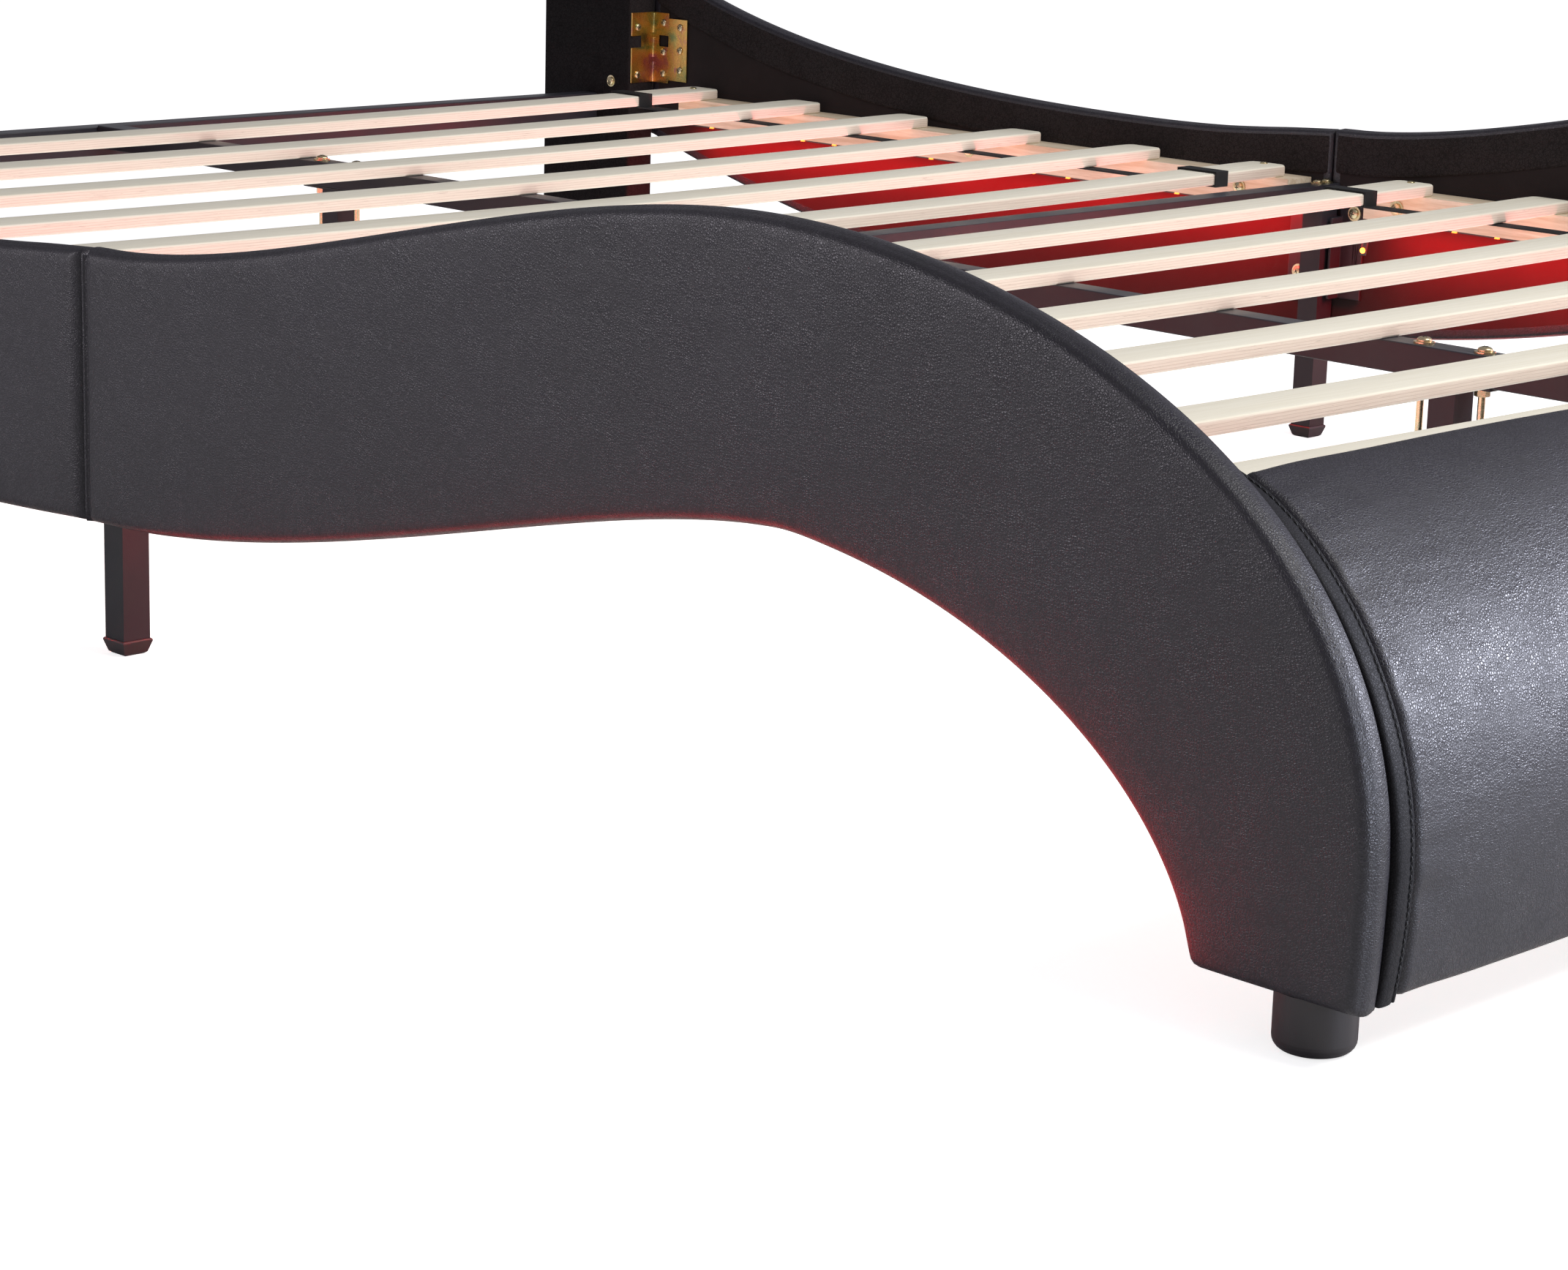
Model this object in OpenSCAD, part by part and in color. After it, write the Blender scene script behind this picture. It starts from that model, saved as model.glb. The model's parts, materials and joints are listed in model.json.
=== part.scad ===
// Upholstered sleigh bed: wave-shaped side rails in two halves, rolled foot panel,
// raised head panel on two posts, slatted base on a steel centre beam, light strips.
// X is the width, Y runs from the foot (-) to the head (+), Z is up; the middle joint
// of the side rails lies at Y = 0 and the floor at Z = 0.

/* [Overall] */
// outside width over both side rails
bed_w = 1600; // [1400:10:2000]
// thickness of a finished side rail
rail_t = 25; // [20:1:40]
// padding and leather on the outer face of a rail
pad_t = 7; // [4:1:12]
// leather and padding wrapped round the rail's edges
wrap_t = 4; // [2:0.5:6]
// thickness of the inner lining and of the leather's folded hem
lining_t = 2; // [1:0.5:3]
// width of the leather hem folded over the rail's inner face
hem_w = 45; // [20:5:80]

/* [Slats] */
// width of one slat
slat_w = 48; // [40:1:80]
// thickness of one slat
slat_t = 12; // [8:1:20]
// length of one slat
slat_len = 1520; // [1300:5:1900]
// height of the slats' upper faces at their ends
slat_top = 285; // [250:1:340]
// how far a slat sags at the middle of the bed, where it meets the centre beam
slat_sag = 5; // [0:0.5:8]
// distance between slats in the head half
head_pitch = 176; // [150:1:200]
// distance between slats in the foot half
foot_pitch = 169; // [150:1:200]
// middle of the head half's first slat beyond the joint
head_first = 66; // [50:1:90]
// middle of the foot half's first slat beyond the joint
foot_first = 125; // [90:1:150]
// width of the webbing that ties the slats together
strap_w = 20; // [15:1:40]
// distance of each webbing from the end of the slats
strap_in = 118; // [60:1:200]

/* [Ledgers] */
// width of the wooden ledgers on the rails
ledger_w = 40; // [25:1:60]
// height of the wooden ledgers
ledger_h = 30; // [20:1:45]

/* [Steel] */
// outside size of the square steel tubes
tube = 25; // [20:1:40]
// wall of the square steel tubes
tube_wall = 1.5; // [1:0.1:3]
// upper face of the centre beam
beam_top = 268; // [240:1:300]
// upper face of the middle cross tube
cross_top = 270; // [240:1:300]
// middle of the head half's centre leg beyond the joint
leg_head_y = 694; // [500:1:900]
// middle of the foot half's centre leg beyond the joint
leg_foot_y = 712; // [500:1:900]
// distance between the two bolts at a centre leg
bolt_gap = 58; // [45:1:90]
// height of the plastic leg caps
cap_h = 12.5; // [8:0.5:25]

/* [Feet and ends] */
// height of the round feet, and of the lower edges at the foot end
foot_h = 37; // [25:1:80]
// radius of the round feet
foot_r = 25; // [18:1:40]
// distance of a round foot's middle from the outer face of the rail
foot_in = 30; // [25:1:60]
// distance of the round feet beyond the middle joint
foot_y = 1186; // [1100:1:1205]
// thickness of the bent foot panel with its padding
roll_t = 26; // [18:1:40]

/* [Head] */
// front face of the head posts beyond the middle joint
post_y = 1052; // [1000:1:1200]
// depth of the head posts
post_d = 160; // [80:1:200]
// thickness of the head posts
post_t = 40; // [30:1:60]
// upper edge of the head panel
head_top = 880; // [800:5:980]
// lower edge of the head panel
head_low = 480; // [450:5:560]

/* [Hidden] */
$fn = 48;
hw = bed_w / 2;             // outer face of the right rail
xi = hw - rail_t;           // inner face of the right rail
gap = 0.3;                  // clearance between curved faces
m6_hole = 3.3;              // radius of the holes for 6 mm bolts
m6 = 3;                     // radius of a 6 mm bolt's shank
above = 600;                // higher than any side rail
slat_low = slat_top - slat_t;
post_x = xi - post_t;       // inner face of the right post
half_slat = slat_len / 2;
strap_x = half_slat - strap_in;
// uneven spacing of the foot half's slats along the webbing
drift = [0, 10, 4, 5, -15, 0];
head_ys = [for (i = [0:5]) head_first + head_pitch * (5 - i)];
foot_ys = [for (i = [0:5]) -foot_first - foot_pitch * i + drift[i]];
slat_ys = concat(head_ys, foot_ys);
screwed = [0, 5, 6, 11];    // slats screwed down to the ledgers
dark = [0.16, 0.16, 0.18];
black = [0.08, 0.08, 0.09];
steel = [0.13, 0.12, 0.14];
zinc = [0.78, 0.62, 0.3];
wood = [0.88, 0.82, 0.7];

// ---- curves ----
function bez(a, b, c, d, t) = pow(1 - t, 3) * a + 3 * pow(1 - t, 2) * t * b
  + 3 * (1 - t) * t * t * c + t * t * t * d;
function run(a, b, c, d, n) = [for (i = [0:n - 1]) bez(a, b, c, d, i / n)];
function unit(v) = v / norm(v);
function side(v) = [-v[1], v[0]];
// a closed outline moved inwards by e; outlines run anticlockwise
function inset(p, e) = [for (i = [0:len(p) - 1])
  let (q = p[(i + len(p) - 1) % len(p)], r = p[(i + 1) % len(p)],
       n1 = side(unit(p[i] - q)), n2 = side(unit(r - p[i])))
  p[i] + e * (n1 + n2) / (1 + n1 * n2)];
// an open line moved sideways by e
function shifted(p, e) = [for (i = [0:len(p) - 1])
  let (q = p[max(i - 1, 0)], r = p[min(i + 1, len(p) - 1)]) p[i] + e * side(unit(r - q))];
function back(p) = [for (i = [len(p) - 1:-1:0]) p[i]];

// foot half: wave down to the floor at the foot corner
foot_out = concat(
  [[-0.5, 112], [-0.5, 324]],
  run([-20, 325], [-240, 330], [-520, 434], [-735, 434], 18),
  run([-735, 434], [-870, 434], [-1020, 398], [-1119, 327], 12),
  run([-1119, 327], [-1174, 289], [-1234, 220], [-1236, 125], 10),
  run([-1236, 125], [-1236, 95], [-1235, 60], [-1232, foot_h], 5),
  [[-1232, foot_h]],
  run([-1120, foot_h], [-1115, foot_h], [-1112, foot_h + 3], [-1111, foot_h + 8], 3),
  run([-1111, foot_h + 8], [-1088, 135], [-960, 222], [-770, 237], 14),
  run([-770, 237], [-600, 238], [-300, 120], [-20, 112], 16));
// head half: shallow trough, then rising to the head
head_out = concat(
  [[0.5, 321]], [[0.5, 112]],
  run([20, 111], [110, 105], [220, 101], [330, 101], 6),
  run([330, 101], [560, 101], [820, 143], [post_y, 218], 14),
  [[post_y, 218]],
  run([post_y, 428], [830, 330], [480, 312], [240, 312], 16),
  run([240, 312], [160, 312], [80, 317], [20, 321], 5));
// side wing of the headboard, carrying the wave up to the rolled top
rear = 1240;                // rearmost line of the headboard
wing_front = concat(
  run([post_y + 1, 429], [1106, 452], [1146, 560], [1156, 700], 12),
  run([1156, 700], [1160, 770], [1158, 800], [1163, head_top - 20], 5),
  run([1163, head_top - 20], [1166, head_top + 8], [1192, head_top + 20],
      [1214, head_top + 10], 7));
wing_back = concat(
  run([1214, head_top + 10], [1230, head_top + 2], [rear, head_top - 20],
      [rear, head_top - 50], 5),
  run([rear, head_top - 50], [rear, 640], [rear - 2, 300], [post_y + 1, 218], 18),
  [[post_y + 1, 218]]);
wing_out = back(concat(wing_front, wing_back));

// outer line of the foot panel's cross-section, top to bottom
roll_line = concat(
  run([-1098, 327], [-1163, 308], [-1240, 218], [-1240, 116], 18),
  run([-1240, 116], [-1240, 88], [-1238, 62], [-1233, foot_h], 5),
  [[-1233, foot_h]]);
// front line of the head panel's cross-section, bottom to top
head_line = concat(
  run([1106, head_low], [1134, 570], [1142, 640], [1148, 720], 10),
  run([1148, 720], [1152, 780], [1148, 820], [1156, head_top - 24], 6),
  run([1156, head_top - 24], [1162, head_top + 2], [1190, head_top + 12],
      [1212, head_top], 8),
  [[1212, head_top]]);

// ---- helpers ----
// an outline in the Y-Z plane, t thick, starting at x and going to +X
module plate_x(x, t) translate([x, 0, 0]) rotate([90, 0, 90]) linear_extrude(t) children();
module both() { children(); mirror([1, 0, 0]) children(); }
module box(a, b) translate(a) cube(b - a);
module hex(r, h) linear_extrude(h) polygon([for (i = [0:5]) r * [cos(60 * i), sin(60 * i)]]);
// pan-head screw pointing down, head above the origin
module pan(r, h) rotate_extrude()
  polygon(concat([[0, 0], [r, 0], [r, h * 0.35]],
    [for (a = [15:15:75]) [r * cos(a), h * 0.35 + h * 0.65 * sin(a)]], [[0, h]]));

// ---- rails ----
module cover(p, y0, y1) {
  difference() {
    plate_x(xi + lining_t, rail_t - lining_t) polygon(p);
    plate_x(xi + lining_t - 1, rail_t - lining_t - pad_t + 1) polygon(inset(p, wrap_t));
  }
  plate_x(xi, lining_t) intersection() {
    difference() { polygon(p); translate([0, -hem_w]) polygon(p); }
    translate([y0, 0]) square([y1 - y0, above]);
  }
}
module core(p) plate_x(xi + lining_t, rail_t - lining_t - pad_t - gap)
  polygon(inset(p, wrap_t + gap));
module lining(p) plate_x(xi, lining_t) intersection() {
  polygon(inset(p, wrap_t));
  translate([0, -hem_w - 0.5]) polygon(p);
}
module cover_foot() difference() { cover(foot_out, -hem_end, 0); bolt_holes(); }
module cover_head() difference() { cover(head_out, 0, post_y); bolt_holes(); }
module core_foot() difference() { core(foot_out); bolt_holes(); }
module core_head() difference() { core(head_out); bolt_holes(); }
module lining_half() difference() {
  union() { lining(foot_out); lining(head_out); }
  bolt_holes();
}
hem_end = 1080;             // the foot half's hem stops here, beyond the joint
// bolts that fix plates and ledgers to a rail, seen from the bed's inside
joint_pts = [[-36, 241], [-36, 172], [33, 172]];
ledger_pts = [for (y = [-1000, -560, -116, 90, 480, 900]) [y, slat_low - ledger_h / 2]];
module bolt_holes() for (p = concat(joint_pts, ledger_pts))
  translate([xi - 1, p[0], p[1]]) rotate([0, 90, 0]) cylinder(r = m6_hole, h = 15);

module rail_right_foot() color(dark) cover_foot();
module rail_right_head() color(dark) cover_head();
module rail_left_foot() color(dark) mirror([1, 0, 0]) cover_foot();
module rail_left_head() color(dark) mirror([1, 0, 0]) cover_head();
module core_right_foot() color(wood) core_foot();
module core_right_head() color(wood) core_head();
module core_left_foot() color(wood) mirror([1, 0, 0]) core_foot();
module core_left_head() color(wood) mirror([1, 0, 0]) core_head();
module lining_right() color(black) lining_half();
module lining_left() color(black) mirror([1, 0, 0]) lining_half();

// ---- foot end ----
panel_x = xi - 3;           // end of the foot panel
welt_w = 17;                // width of the stitched strip at each end of it
roll_pad = 9;               // leather and padding over its board
frame_foot = -1053;         // front end of the steel frame
block_y = [-1190, -1126];   // ends of the blocks over the round feet
block_w = 42;
block_top = 120;
module band(line, e0, e1, x0, x1) plate_x(x0, x1 - x0)
  polygon(concat(shifted(line, e0), back(shifted(line, e1))));
module foot_panel() color(dark)
  band(roll_line, 0, roll_pad, -panel_x + welt_w, panel_x - welt_w);
module foot_panel_core() color(wood)
  band(roll_line, roll_pad + gap, roll_t, -panel_x, panel_x);
module foot_welts() color(black)
  both() band(roll_line, 1.5, roll_pad, panel_x - welt_w + gap, panel_x);
module foot_cross_rail() color(steel) difference() {
  box([-xi, frame_foot - tube, slat_low - 40], [xi, frame_foot, slat_low - 3]);
  box([-xi - 1, frame_foot - tube + tube_wall, slat_low - 40 + tube_wall],
      [xi + 1, frame_foot - tube_wall, slat_low - 3 - tube_wall]);
}
module corner_blocks() color(wood) both()
  box([xi - block_w, block_y[0], foot_h], [xi, block_y[1], block_top]);
module foot_round() translate([hw - foot_in, -foot_y, 0]) rotate_extrude($fn = 64)
  polygon(concat([[0, 0], [foot_r - 8, 0]],
    [for (a = [-75:15:0]) [foot_r - 8 + 8 * cos(a), 8 + 8 * sin(a)]],
    [[foot_r, foot_h], [0, foot_h]]));
module foot_right() color(black) foot_round();
module foot_left() color(black) mirror([1, 0, 0]) foot_round();

// ---- head end ----
module wing() plate_x(xi, rail_t) polygon(wing_out);
module wing_right() color(dark) wing();
module wing_left() color(dark) mirror([1, 0, 0]) wing();
head_pad = 12;              // leather and padding over the head panel's board
head_t = 30;                // thickness of the head panel with its padding
head_x = xi - 1;            // end of the head panel
flat_part = 13;             // the posts follow the head panel's line up to this point
step_z = head_low - 16;     // the posts step back here to carry the head panel
post_top = head_top - 60;
post_bolt = [post_y + 32, 283];
// each post runs up behind the head panel
post_line = concat([[post_y, 0], [post_y + post_d, 0], [post_y + post_d, post_top]],
  back([for (i = [0:flat_part]) shifted(head_line, -head_t - gap)[i]]),
  [[shifted(head_line, -head_t - gap)[0][0], step_z], [post_y, step_z]]);
module post() difference() {
  plate_x(post_x, post_t) polygon(post_line);
  translate([post_x - 1, post_bolt[0], post_bolt[1]]) rotate([0, 90, 0])
    cylinder(r = 4.3, h = post_t + 2);
}
module post_right() color(black) post();
module post_left() color(black) mirror([1, 0, 0]) post();
module head_panel() color(dark) band(head_line, 0, -head_pad, -head_x, head_x);
module head_panel_core() color(wood)
  band(head_line, -head_pad - gap, -head_t, -head_x, head_x);
cross_y = post_y + 58;      // front face of the cross rail between the posts
module head_cross_rail() color(steel) difference() {
  box([-post_x, cross_y, beam_top - 50], [post_x, cross_y + tube, beam_top - 2]);
  box([-post_x - 1, cross_y + tube_wall, beam_top - 50 + tube_wall],
      [post_x + 1, cross_y + tube - tube_wall, beam_top - 2 - tube_wall]);
}

// ---- steel base ----
beam_pts = [leg_head_y - bolt_gap / 2, leg_head_y + bolt_gap / 2,
            -leg_foot_y - bolt_gap / 2, -leg_foot_y + bolt_gap / 2];
module beam(y0, y1) difference() {
  box([-tube / 2, y0, beam_top - tube], [tube / 2, y1, beam_top]);
  box([-tube / 2 + tube_wall, y0 - 1, beam_top - tube + tube_wall],
      [tube / 2 - tube_wall, y1 + 1, beam_top - tube_wall]);
  for (y = beam_pts) translate([0, y, beam_top - tube - 1])
    cylinder(r = bolt_hole, h = tube + 2);
}
module beam_head() color(steel) beam(tube / 2, cross_y);
module beam_foot() color(steel) beam(frame_foot, -tube / 2);
side_leg_x = xi - 3 - tube / 2;
cross_bolt_x = [side_leg_x - 7.5, side_leg_x + 7.5];
module cross_tube() color(steel) difference() {
  box([-xi, -tube / 2, cross_top - tube], [xi, tube / 2, cross_top]);
  box([-xi - 1, -tube / 2 + tube_wall, cross_top - tube + tube_wall],
      [xi + 1, tube / 2 - tube_wall, cross_top - tube_wall]);
  both() for (x = cross_bolt_x) translate([x, 0, cross_top - tube - 1])
    cylinder(r = m6_hole, h = tube + 2);
}
leg_plate = 90;             // length of the plate on a centre leg
bolt_hole = 3.6;            // radius of the holes through the centre beam
// square leg tube with a bolting plate on top
module leg(x, y, top, px, py) difference() {
  union() {
    box([x - tube / 2, y - tube / 2, cap_h], [x + tube / 2, y + tube / 2, top - 2]);
    box([x - px / 2, y - py / 2, top - 2.5], [x + px / 2, y + py / 2, top]);
  }
  box([x - tube / 2 + tube_wall, y - tube / 2 + tube_wall, cap_h - 1],
      [x + tube / 2 - tube_wall, y + tube / 2 - tube_wall, top - 2.5]);
}
module centre_leg(y) difference() {
  leg(0, y, beam_top - tube, tube, leg_plate);
  for (s = [-1, 1]) translate([0, y + s * bolt_gap / 2, beam_top - tube - 5])
    cylinder(r = bolt_hole, h = 10);
}
module centre_leg_head() color(steel) centre_leg(leg_head_y);
module centre_leg_foot() color(steel) centre_leg(-leg_foot_y);
module side_leg() difference() {
  leg(side_leg_x, 0, cross_top - tube, tube, tube);
  for (x = cross_bolt_x) translate([x, 0, cross_top - tube - 5])
    cylinder(r = m6_hole, h = 10);
}
module side_leg_right() color(steel) side_leg();
module side_leg_left() color(steel) mirror([1, 0, 0]) side_leg();
module cap(x, y) translate([x, y, 0]) {
  intersection() {
    rotate([90, 0, 0]) translate([0, 0, -30]) linear_extrude(60) cap_side();
    rotate([90, 0, 90]) translate([0, 0, -30]) linear_extrude(60) cap_side();
  }
}
module cap_side() polygon([[-9, 0], [9, 0], [11, 1.5], [14, cap_h - 2], [14, cap_h - 1],
  [13.2, cap_h], [-13.2, cap_h], [-14, cap_h - 1], [-14, cap_h - 2], [-11, 1.5]]);
module leg_caps() color(black) {
  cap(0, leg_head_y);
  cap(0, -leg_foot_y);
  both() cap(side_leg_x, 0);
}

// ---- ledgers, slats, webbing ----
ledger_foot = [-1050, -74]; // ends of the foot half's ledgers
ledger_head = [26, 962];    // ends of the head half's ledgers
screw_x = half_slat - 16;   // the slats' screws
screw_h = 28;               // length of their shanks
module ledger(ends) difference() {
  box([xi - ledger_w, ends[0], slat_low - ledger_h], [xi, ends[1], slat_low]);
  for (p = ledger_pts) translate([xi - ledger_w - 1, p[0], p[1]]) rotate([0, 90, 0])
    cylinder(r = m6_hole, h = ledger_w + 2);
  for (i = screwed) translate([screw_x, slat_ys[i], slat_low - 22])
    cylinder(r = 1.9, h = 30);
}
module ledger_right_foot() color(wood) ledger(ledger_foot);
module ledger_right_head() color(wood) ledger(ledger_head);
module ledger_left_foot() color(wood) mirror([1, 0, 0]) ledger(ledger_foot);
module ledger_left_head() color(wood) mirror([1, 0, 0]) ledger(ledger_head);

ledge = xi - ledger_w;      // inner face of the right ledger
function dip(x) = slat_sag * (1 - pow(min(abs(x), ledge) / ledge, 2));
slat_line = concat([[-half_slat, slat_low]],
  [for (i = [-12:12]) let (x = ledge * i / 12) [x, slat_low - dip(x)]],
  [[half_slat, slat_low]]);
// how far each slat lies off the middle, to the right
slat_off = [6, 6, 5, 3, 0, -6, -6, 3, -4, 5, -2, 2];
module slat(i) color(wood) difference() {
  translate([slat_off[i], slat_ys[i] + slat_w / 2, 0]) rotate([90, 0, 0]) linear_extrude(slat_w)
    polygon(concat(slat_line, [for (p = back(slat_line)) p + [0, slat_t]]));
  if (len([for (k = screwed) if (k == i) 1]) > 0) both()
    translate([screw_x, slat_ys[i], slat_low - 5]) cylinder(r = 2.3, h = 30);
}
module slat_01() slat(0);
module slat_02() slat(1);
module slat_03() slat(2);
module slat_04() slat(3);
module slat_05() slat(4);
module slat_06() slat(5);
module slat_07() slat(6);
module slat_08() slat(7);
module slat_09() slat(8);
module slat_10() slat(9);
module slat_11() slat(10);
module slat_12() slat(11);

// webbing: a flat run under six slats with a loop round the first and the last
web_t = 1.4;
module strap(ys) {
  z = slat_low - dip(strap_x) - 0.6;
  w = slat_w / 2 + 0.5;
  translate([strap_x - strap_w / 2, 0, 0]) plate_x(0, strap_w) difference() {
    union() {
      translate([ys[5], z - web_t]) square([ys[0] - ys[5], web_t]);
      for (y = [ys[0], ys[5]]) translate([y - w - web_t, z - web_t])
        square([2 * (w + web_t), slat_t + 3 * web_t]);
    }
    for (y = [ys[0], ys[5]]) translate([y - w, z]) square([2 * w, slat_t + web_t]);
  }
}
module straps_head() color(black) both() strap(head_ys);
module straps_foot() color(black) both() strap(foot_ys);

// ---- fittings ----
// folded steel corner fitting: one leaf on the post's front, one on the rail's inner face
leaf_z0 = 283;              // lower end of the fitting
leaf_h = 86;
leaf_t = 2;
module leaf_post() difference() {
  translate([post_x + 2, 0]) square([post_t - 2, leaf_h]);
  translate([post_x + 1, leaf_h * 0.5]) square([post_t * 0.42, leaf_h * 0.17]);
  for (z = [10, 68]) translate([post_x + 12, z]) circle(r = 2.6);
}
module leaf_rail() difference() {
  union() {
    translate([post_y - 62, 4]) square([34, leaf_h - 10]);
    translate([post_y - 29, 0]) square([29, leaf_h]);
  }
  translate([post_y - 29, leaf_h * 0.52]) square([17, leaf_h * 0.16]);
  for (z = [18, 42, 70]) translate([post_y - 50, z]) circle(r = 2.6);
  for (z = [12, 38, 74]) translate([post_y - 20, z]) circle(r = 2.6);
}
module bracket() {
  translate([0, post_y, leaf_z0]) rotate([90, 0, 0]) linear_extrude(leaf_t) leaf_post();
  plate_x(xi - leaf_t, leaf_t) translate([0, leaf_z0]) leaf_rail();
  for (z = [0, 30, 60]) translate([xi - leaf_t - 1.2, post_y - leaf_t - 1.2, leaf_z0 + z + 1])
    cylinder(r = 2.4, h = 24);
}
module bracket_right() color(zinc) bracket();
module bracket_left() color(zinc) mirror([1, 0, 0]) bracket();
module bracket_screws() color(zinc) both() {
  for (z = [10, 68]) translate([post_x + 12, post_y - leaf_t, leaf_z0 + z])
    rotate([90, 0, 0]) pan(4.4, 2.6);
  for (p = [[50, 18], [50, 42], [50, 70], [20, 12], [20, 38], [20, 74]])
    translate([xi - leaf_t, post_y - p[0], leaf_z0 + p[1]]) rotate([0, -90, 0]) pan(4.4, 2.6);
  translate([post_x, post_bolt[0], post_bolt[1]]) rotate([0, -90, 0]) {
    cylinder(r = 7, h = 1.4);
    translate([0, 0, 1.4]) pan(5.2, 3.4);
    translate([0, 0, -post_t + 6]) cylinder(r = 4, h = post_t - 6);
  }
}
// a plate across the joint with a rib on each side of the cross tube
plate_t = 3;
plate_out = 48;             // half the plate's length
plate_z = [150, 236];       // lower and upper edges
ear_z = 256;                // upper edge of its raised corner
rib_y = 17;                 // inner faces of the ribs
rib_w = 20;
module joint_plates() color(steel) both() difference() {
  union() {
    box([xi - plate_t, -plate_out, plate_z[0]], [xi, plate_out, plate_z[1]]);
    box([xi - plate_t, -plate_out, plate_z[0]], [xi, -rib_y, ear_z]);
    box([xi - rib_w, rib_y, plate_z[0]], [xi, rib_y + plate_t, plate_z[1]]);
    box([xi - rib_w, -rib_y - plate_t, plate_z[0]], [xi, -rib_y, plate_z[1]]);
  }
  for (p = joint_pts) translate([xi - 30, p[0], p[1]]) rotate([0, 90, 0])
    cylinder(r = m6_hole, h = 40);
}
module side_bolt(x, y, z, depth) translate([x, y, z]) rotate([0, -90, 0]) {
  cylinder(r = 8, h = 1.4);
  translate([0, 0, 1.4]) pan(5.6, 3.6);
  translate([0, 0, -depth]) cylinder(r = m6, h = depth + 0.1);
}
module joint_bolts() color(zinc) both() {
  for (p = joint_pts) side_bolt(xi - plate_t, p[0], p[1], 15);
  for (p = ledger_pts) side_bolt(xi - ledger_w, p[0], p[1], ledger_w + 12);
}
bolt_len = 75;              // length of the bolts through the centre beam
module beam_bolts() color(zinc) for (y = beam_pts) translate([0, y, 0]) {
  translate([0, 0, beam_top]) { cylinder(r = 8.5, h = 1.6); translate([0, 0, 1.6]) pan(6, 4); }
  translate([0, 0, beam_top - bolt_len]) cylinder(r = m6, h = bolt_len + 0.1);
  translate([0, 0, beam_top - tube - 9]) hex(6.4, 6.5);
}
module cross_bolts() color(zinc) both() for (x = cross_bolt_x) translate([x, 0, cross_top]) {
  cylinder(r = 7, h = 1.4);
  translate([0, 0, 1.4]) pan(4.6, 3.2);
  translate([0, 0, -tube - 12]) cylinder(r = m6, h = tube + 12.1);
}
module slat_screws() color(zinc) both() for (i = screwed)
  translate([screw_x, slat_ys[i], slat_top - dip(screw_x)]) {
    pan(4, 2.2);
    translate([0, 0, -screw_h]) cylinder(r = 1.8, h = screw_h + 0.1);
  }

// ---- light strips under the ledgers ----
strip_w = 10;
strip_in = 4;               // distance of a strip from its ledger's front edge
module strip() for (ends = [ledger_foot, ledger_head])
  box([xi - ledger_w + strip_in, ends[0] + 10, slat_low - ledger_h - 2],
      [xi - ledger_w + strip_in + strip_w, ends[1] - 10, slat_low - ledger_h]);
module light_strip_right() color([1, 0.2, 0.1]) strip();
module light_strip_left() color([1, 0.2, 0.1]) mirror([1, 0, 0]) strip();

rail_left_foot();
rail_left_head();
rail_right_foot();
rail_right_head();
core_left_foot();
core_left_head();
core_right_foot();
core_right_head();
lining_left();
lining_right();
foot_panel();
foot_panel_core();
foot_welts();
foot_cross_rail();
corner_blocks();
foot_left();
foot_right();
wing_left();
wing_right();
post_left();
post_right();
head_panel();
head_panel_core();
head_cross_rail();
cross_tube();
beam_head();
beam_foot();
centre_leg_head();
centre_leg_foot();
side_leg_left();
side_leg_right();
leg_caps();
ledger_left_foot();
ledger_left_head();
ledger_right_foot();
ledger_right_head();
slat_01();
slat_02();
slat_03();
slat_04();
slat_05();
slat_06();
slat_07();
slat_08();
slat_09();
slat_10();
slat_11();
slat_12();
straps_head();
straps_foot();
bracket_left();
bracket_right();
joint_plates();
bracket_screws();
beam_bolts();
cross_bolts();
joint_bolts();
slat_screws();
light_strip_left();
light_strip_right();
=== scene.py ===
import json
import math
import random

import bmesh
import bpy
import numpy as np
from mathutils import Matrix, Vector, noise
from mathutils.geometry import delaunay_2d_cdt

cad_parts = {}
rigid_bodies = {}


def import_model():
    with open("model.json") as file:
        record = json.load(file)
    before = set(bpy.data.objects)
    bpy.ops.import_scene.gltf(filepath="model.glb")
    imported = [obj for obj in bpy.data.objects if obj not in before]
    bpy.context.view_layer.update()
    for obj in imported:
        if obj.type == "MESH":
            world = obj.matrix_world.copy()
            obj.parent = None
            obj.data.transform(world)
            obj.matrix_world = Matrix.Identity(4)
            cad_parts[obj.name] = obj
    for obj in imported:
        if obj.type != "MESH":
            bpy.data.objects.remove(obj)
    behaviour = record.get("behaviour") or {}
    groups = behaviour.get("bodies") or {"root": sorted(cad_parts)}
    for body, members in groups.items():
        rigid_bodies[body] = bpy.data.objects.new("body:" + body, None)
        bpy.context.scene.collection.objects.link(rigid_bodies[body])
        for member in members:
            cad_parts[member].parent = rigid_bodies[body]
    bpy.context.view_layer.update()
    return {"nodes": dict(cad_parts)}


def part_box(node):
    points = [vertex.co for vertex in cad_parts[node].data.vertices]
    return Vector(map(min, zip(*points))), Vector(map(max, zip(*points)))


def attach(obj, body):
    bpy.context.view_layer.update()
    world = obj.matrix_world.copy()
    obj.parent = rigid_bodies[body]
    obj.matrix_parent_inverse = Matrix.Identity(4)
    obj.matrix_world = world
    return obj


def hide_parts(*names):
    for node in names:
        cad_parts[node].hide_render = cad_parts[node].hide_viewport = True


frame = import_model()
NODES = frame["nodes"]
MM = 0.001

# the CAD's own planes
rail_low, rail_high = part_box("rail_right_foot")
X_OUT = rail_high.x                      # outer face of the right rail
X_IN = rail_low.x                        # inner face of the right rail
POST_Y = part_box("post_right")[0].y       # front face of the head posts
FLOOR_Z = 0.0
STRIP_GAP = (-84 * MM, 36 * MM)          # the light strips stop here, either side of mid-length
SCREW_NODES = ("bracket_screws", "beam_bolts", "cross_bolts", "joint_bolts", "slat_screws")


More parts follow.
